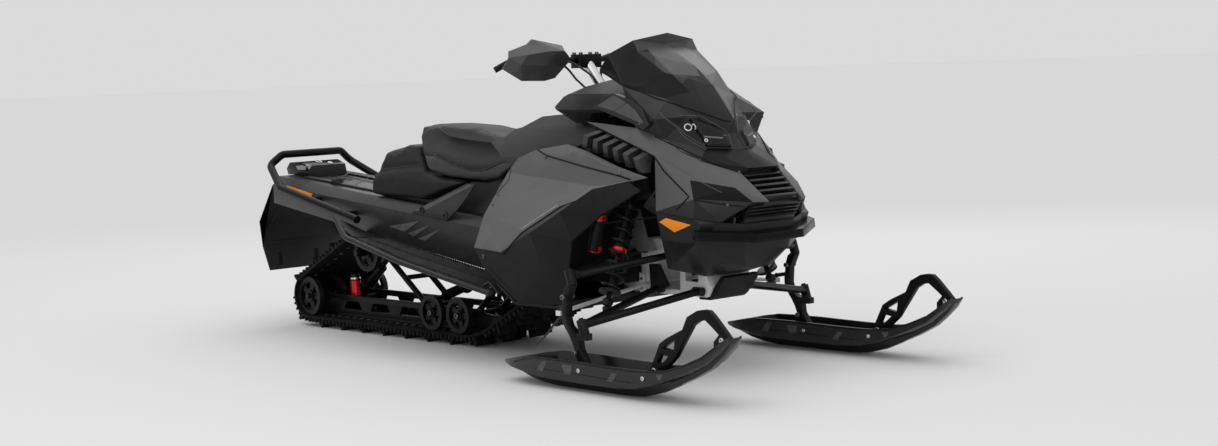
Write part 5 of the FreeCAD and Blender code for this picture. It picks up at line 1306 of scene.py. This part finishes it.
# Handlebar, grips, guards and cables.
# A bent black bar clamped to a riser on a plated column, ribbed rubber grips,
# a lever before each, faceted smoked hand guards with a dark middle band, and
# a bundle of black control cables.
dressed("handlebar", powder_black, edge=0.0, smooth=50)
dressed("grips", finish("grip rubber", (0.008, 0.008, 0.008), 0.6, specular=0.25, grain=700, relief=0.4),
        edge=0.001)
steering_riser = dressed("steering_riser", powder_black, edge=0.0015)
steering_riser.data.materials.append(bright_steel)
column_top = 1.035
for face in steering_riser.data.polygons:
    if face.center.z < column_top:
        face.material_index = 1
cable_black = finish("cable sleeve", (0.006, 0.006, 0.006), 0.35, specular=0.4)
dressed("control_cables", cable_black, edge=0.0, smooth=60)
guard_grey = finish("smoked guard grey", (0.060, 0.060, 0.062), 0.2, specular=0.5, coat=0.4, grain=900,
                    relief=0.03, patch=0.12, alpha=0.97)
guard_dark = finish("smoked guard dark", (0.018, 0.018, 0.0185), 0.22, specular=0.5, coat=0.4, grain=900,
                    relief=0.03)
guard_low = finish("smoked guard lower", (0.042, 0.042, 0.043), 0.25, specular=0.5, coat=0.3, grain=900,
                   relief=0.03)
handguards = dressed("handguards", guard_low, edge=0.0010, crease=30, smooth=8)
guard_corners = corner_set(
    "top_a 407 387 1118;top_b 425 320 1140;top_c 431 301 1157;top_d 462 190 1132;band_a 413 393 1095;"
    "band_b 453 340 1103;band_c 477 254 1113;band_d 491 202 1111;inner_high 495 188 1093;inner_low 494 194 1068;"
    "under_a 399 413 1057;under_b 445 369 1068;under_c 462 308 1064;under_d 487 218 1060;foot_a 419 342 1012;"
    "foot_b 442 259 1009;foot_c 453 221 1018")
paint(handguards, guard_grey, guard_corners,
      "top_a top_b band_b band_a;top_b top_c band_c band_b;top_c top_d band_d band_c")
paint(handguards, guard_dark, guard_corners,
      "band_a band_b under_b;band_a under_b under_a;band_b band_c under_c under_b;band_c band_d inner_high;"
      "band_c inner_high inner_low;band_c inner_low under_d;band_c under_d under_c")

clamp_heads = [(at(372, y, 1101), Vector((0, 0, 1))) for y in (-55, -23, 23, 55)]
screws("clamp_bolts", clamp_heads, 0.0075, 0.008, bolt_steel, "steering")
clamp_corners = ((354, -11), (390, -11), (390, 11), (354, 11))
plate("bar_clamps", [[at(x, middle + y, 1092) for x, y in clamp_corners] for middle in (-39, 39)], 0.014,
      powder_black, "steering", edge=0.003)
for side, hand in (("left", 1), ("right", -1)):
    lever = [at(x, y * hand, z) for x, y, z in ((368, 130, 1096), (392, 160, 1098), (400, 215, 1094),
                                                (386, 290, 1078))]
    tube("lever_" + side, [lever], 0.0052, powder_black, "steering", round_ring=2, soft=True)
ribs = []
rib_start, rib_pitch, rib_size = 0.42, 0.038, 0.0168
bar_in, bar_out = at(369, 120, 1089), at(331, 330, 1079)
for part in range(14):
    middle = bar_in.lerp(bar_out, rib_start + part * rib_pitch)
    ribs += both(ring_round(middle, (bar_out - bar_in).normalized(), rib_size))
tube("grip_ribs", ribs, 0.0011, finish("rib rubber", (0.005, 0.005, 0.005), 0.6, specular=0.2), "steering",
     closed=True)
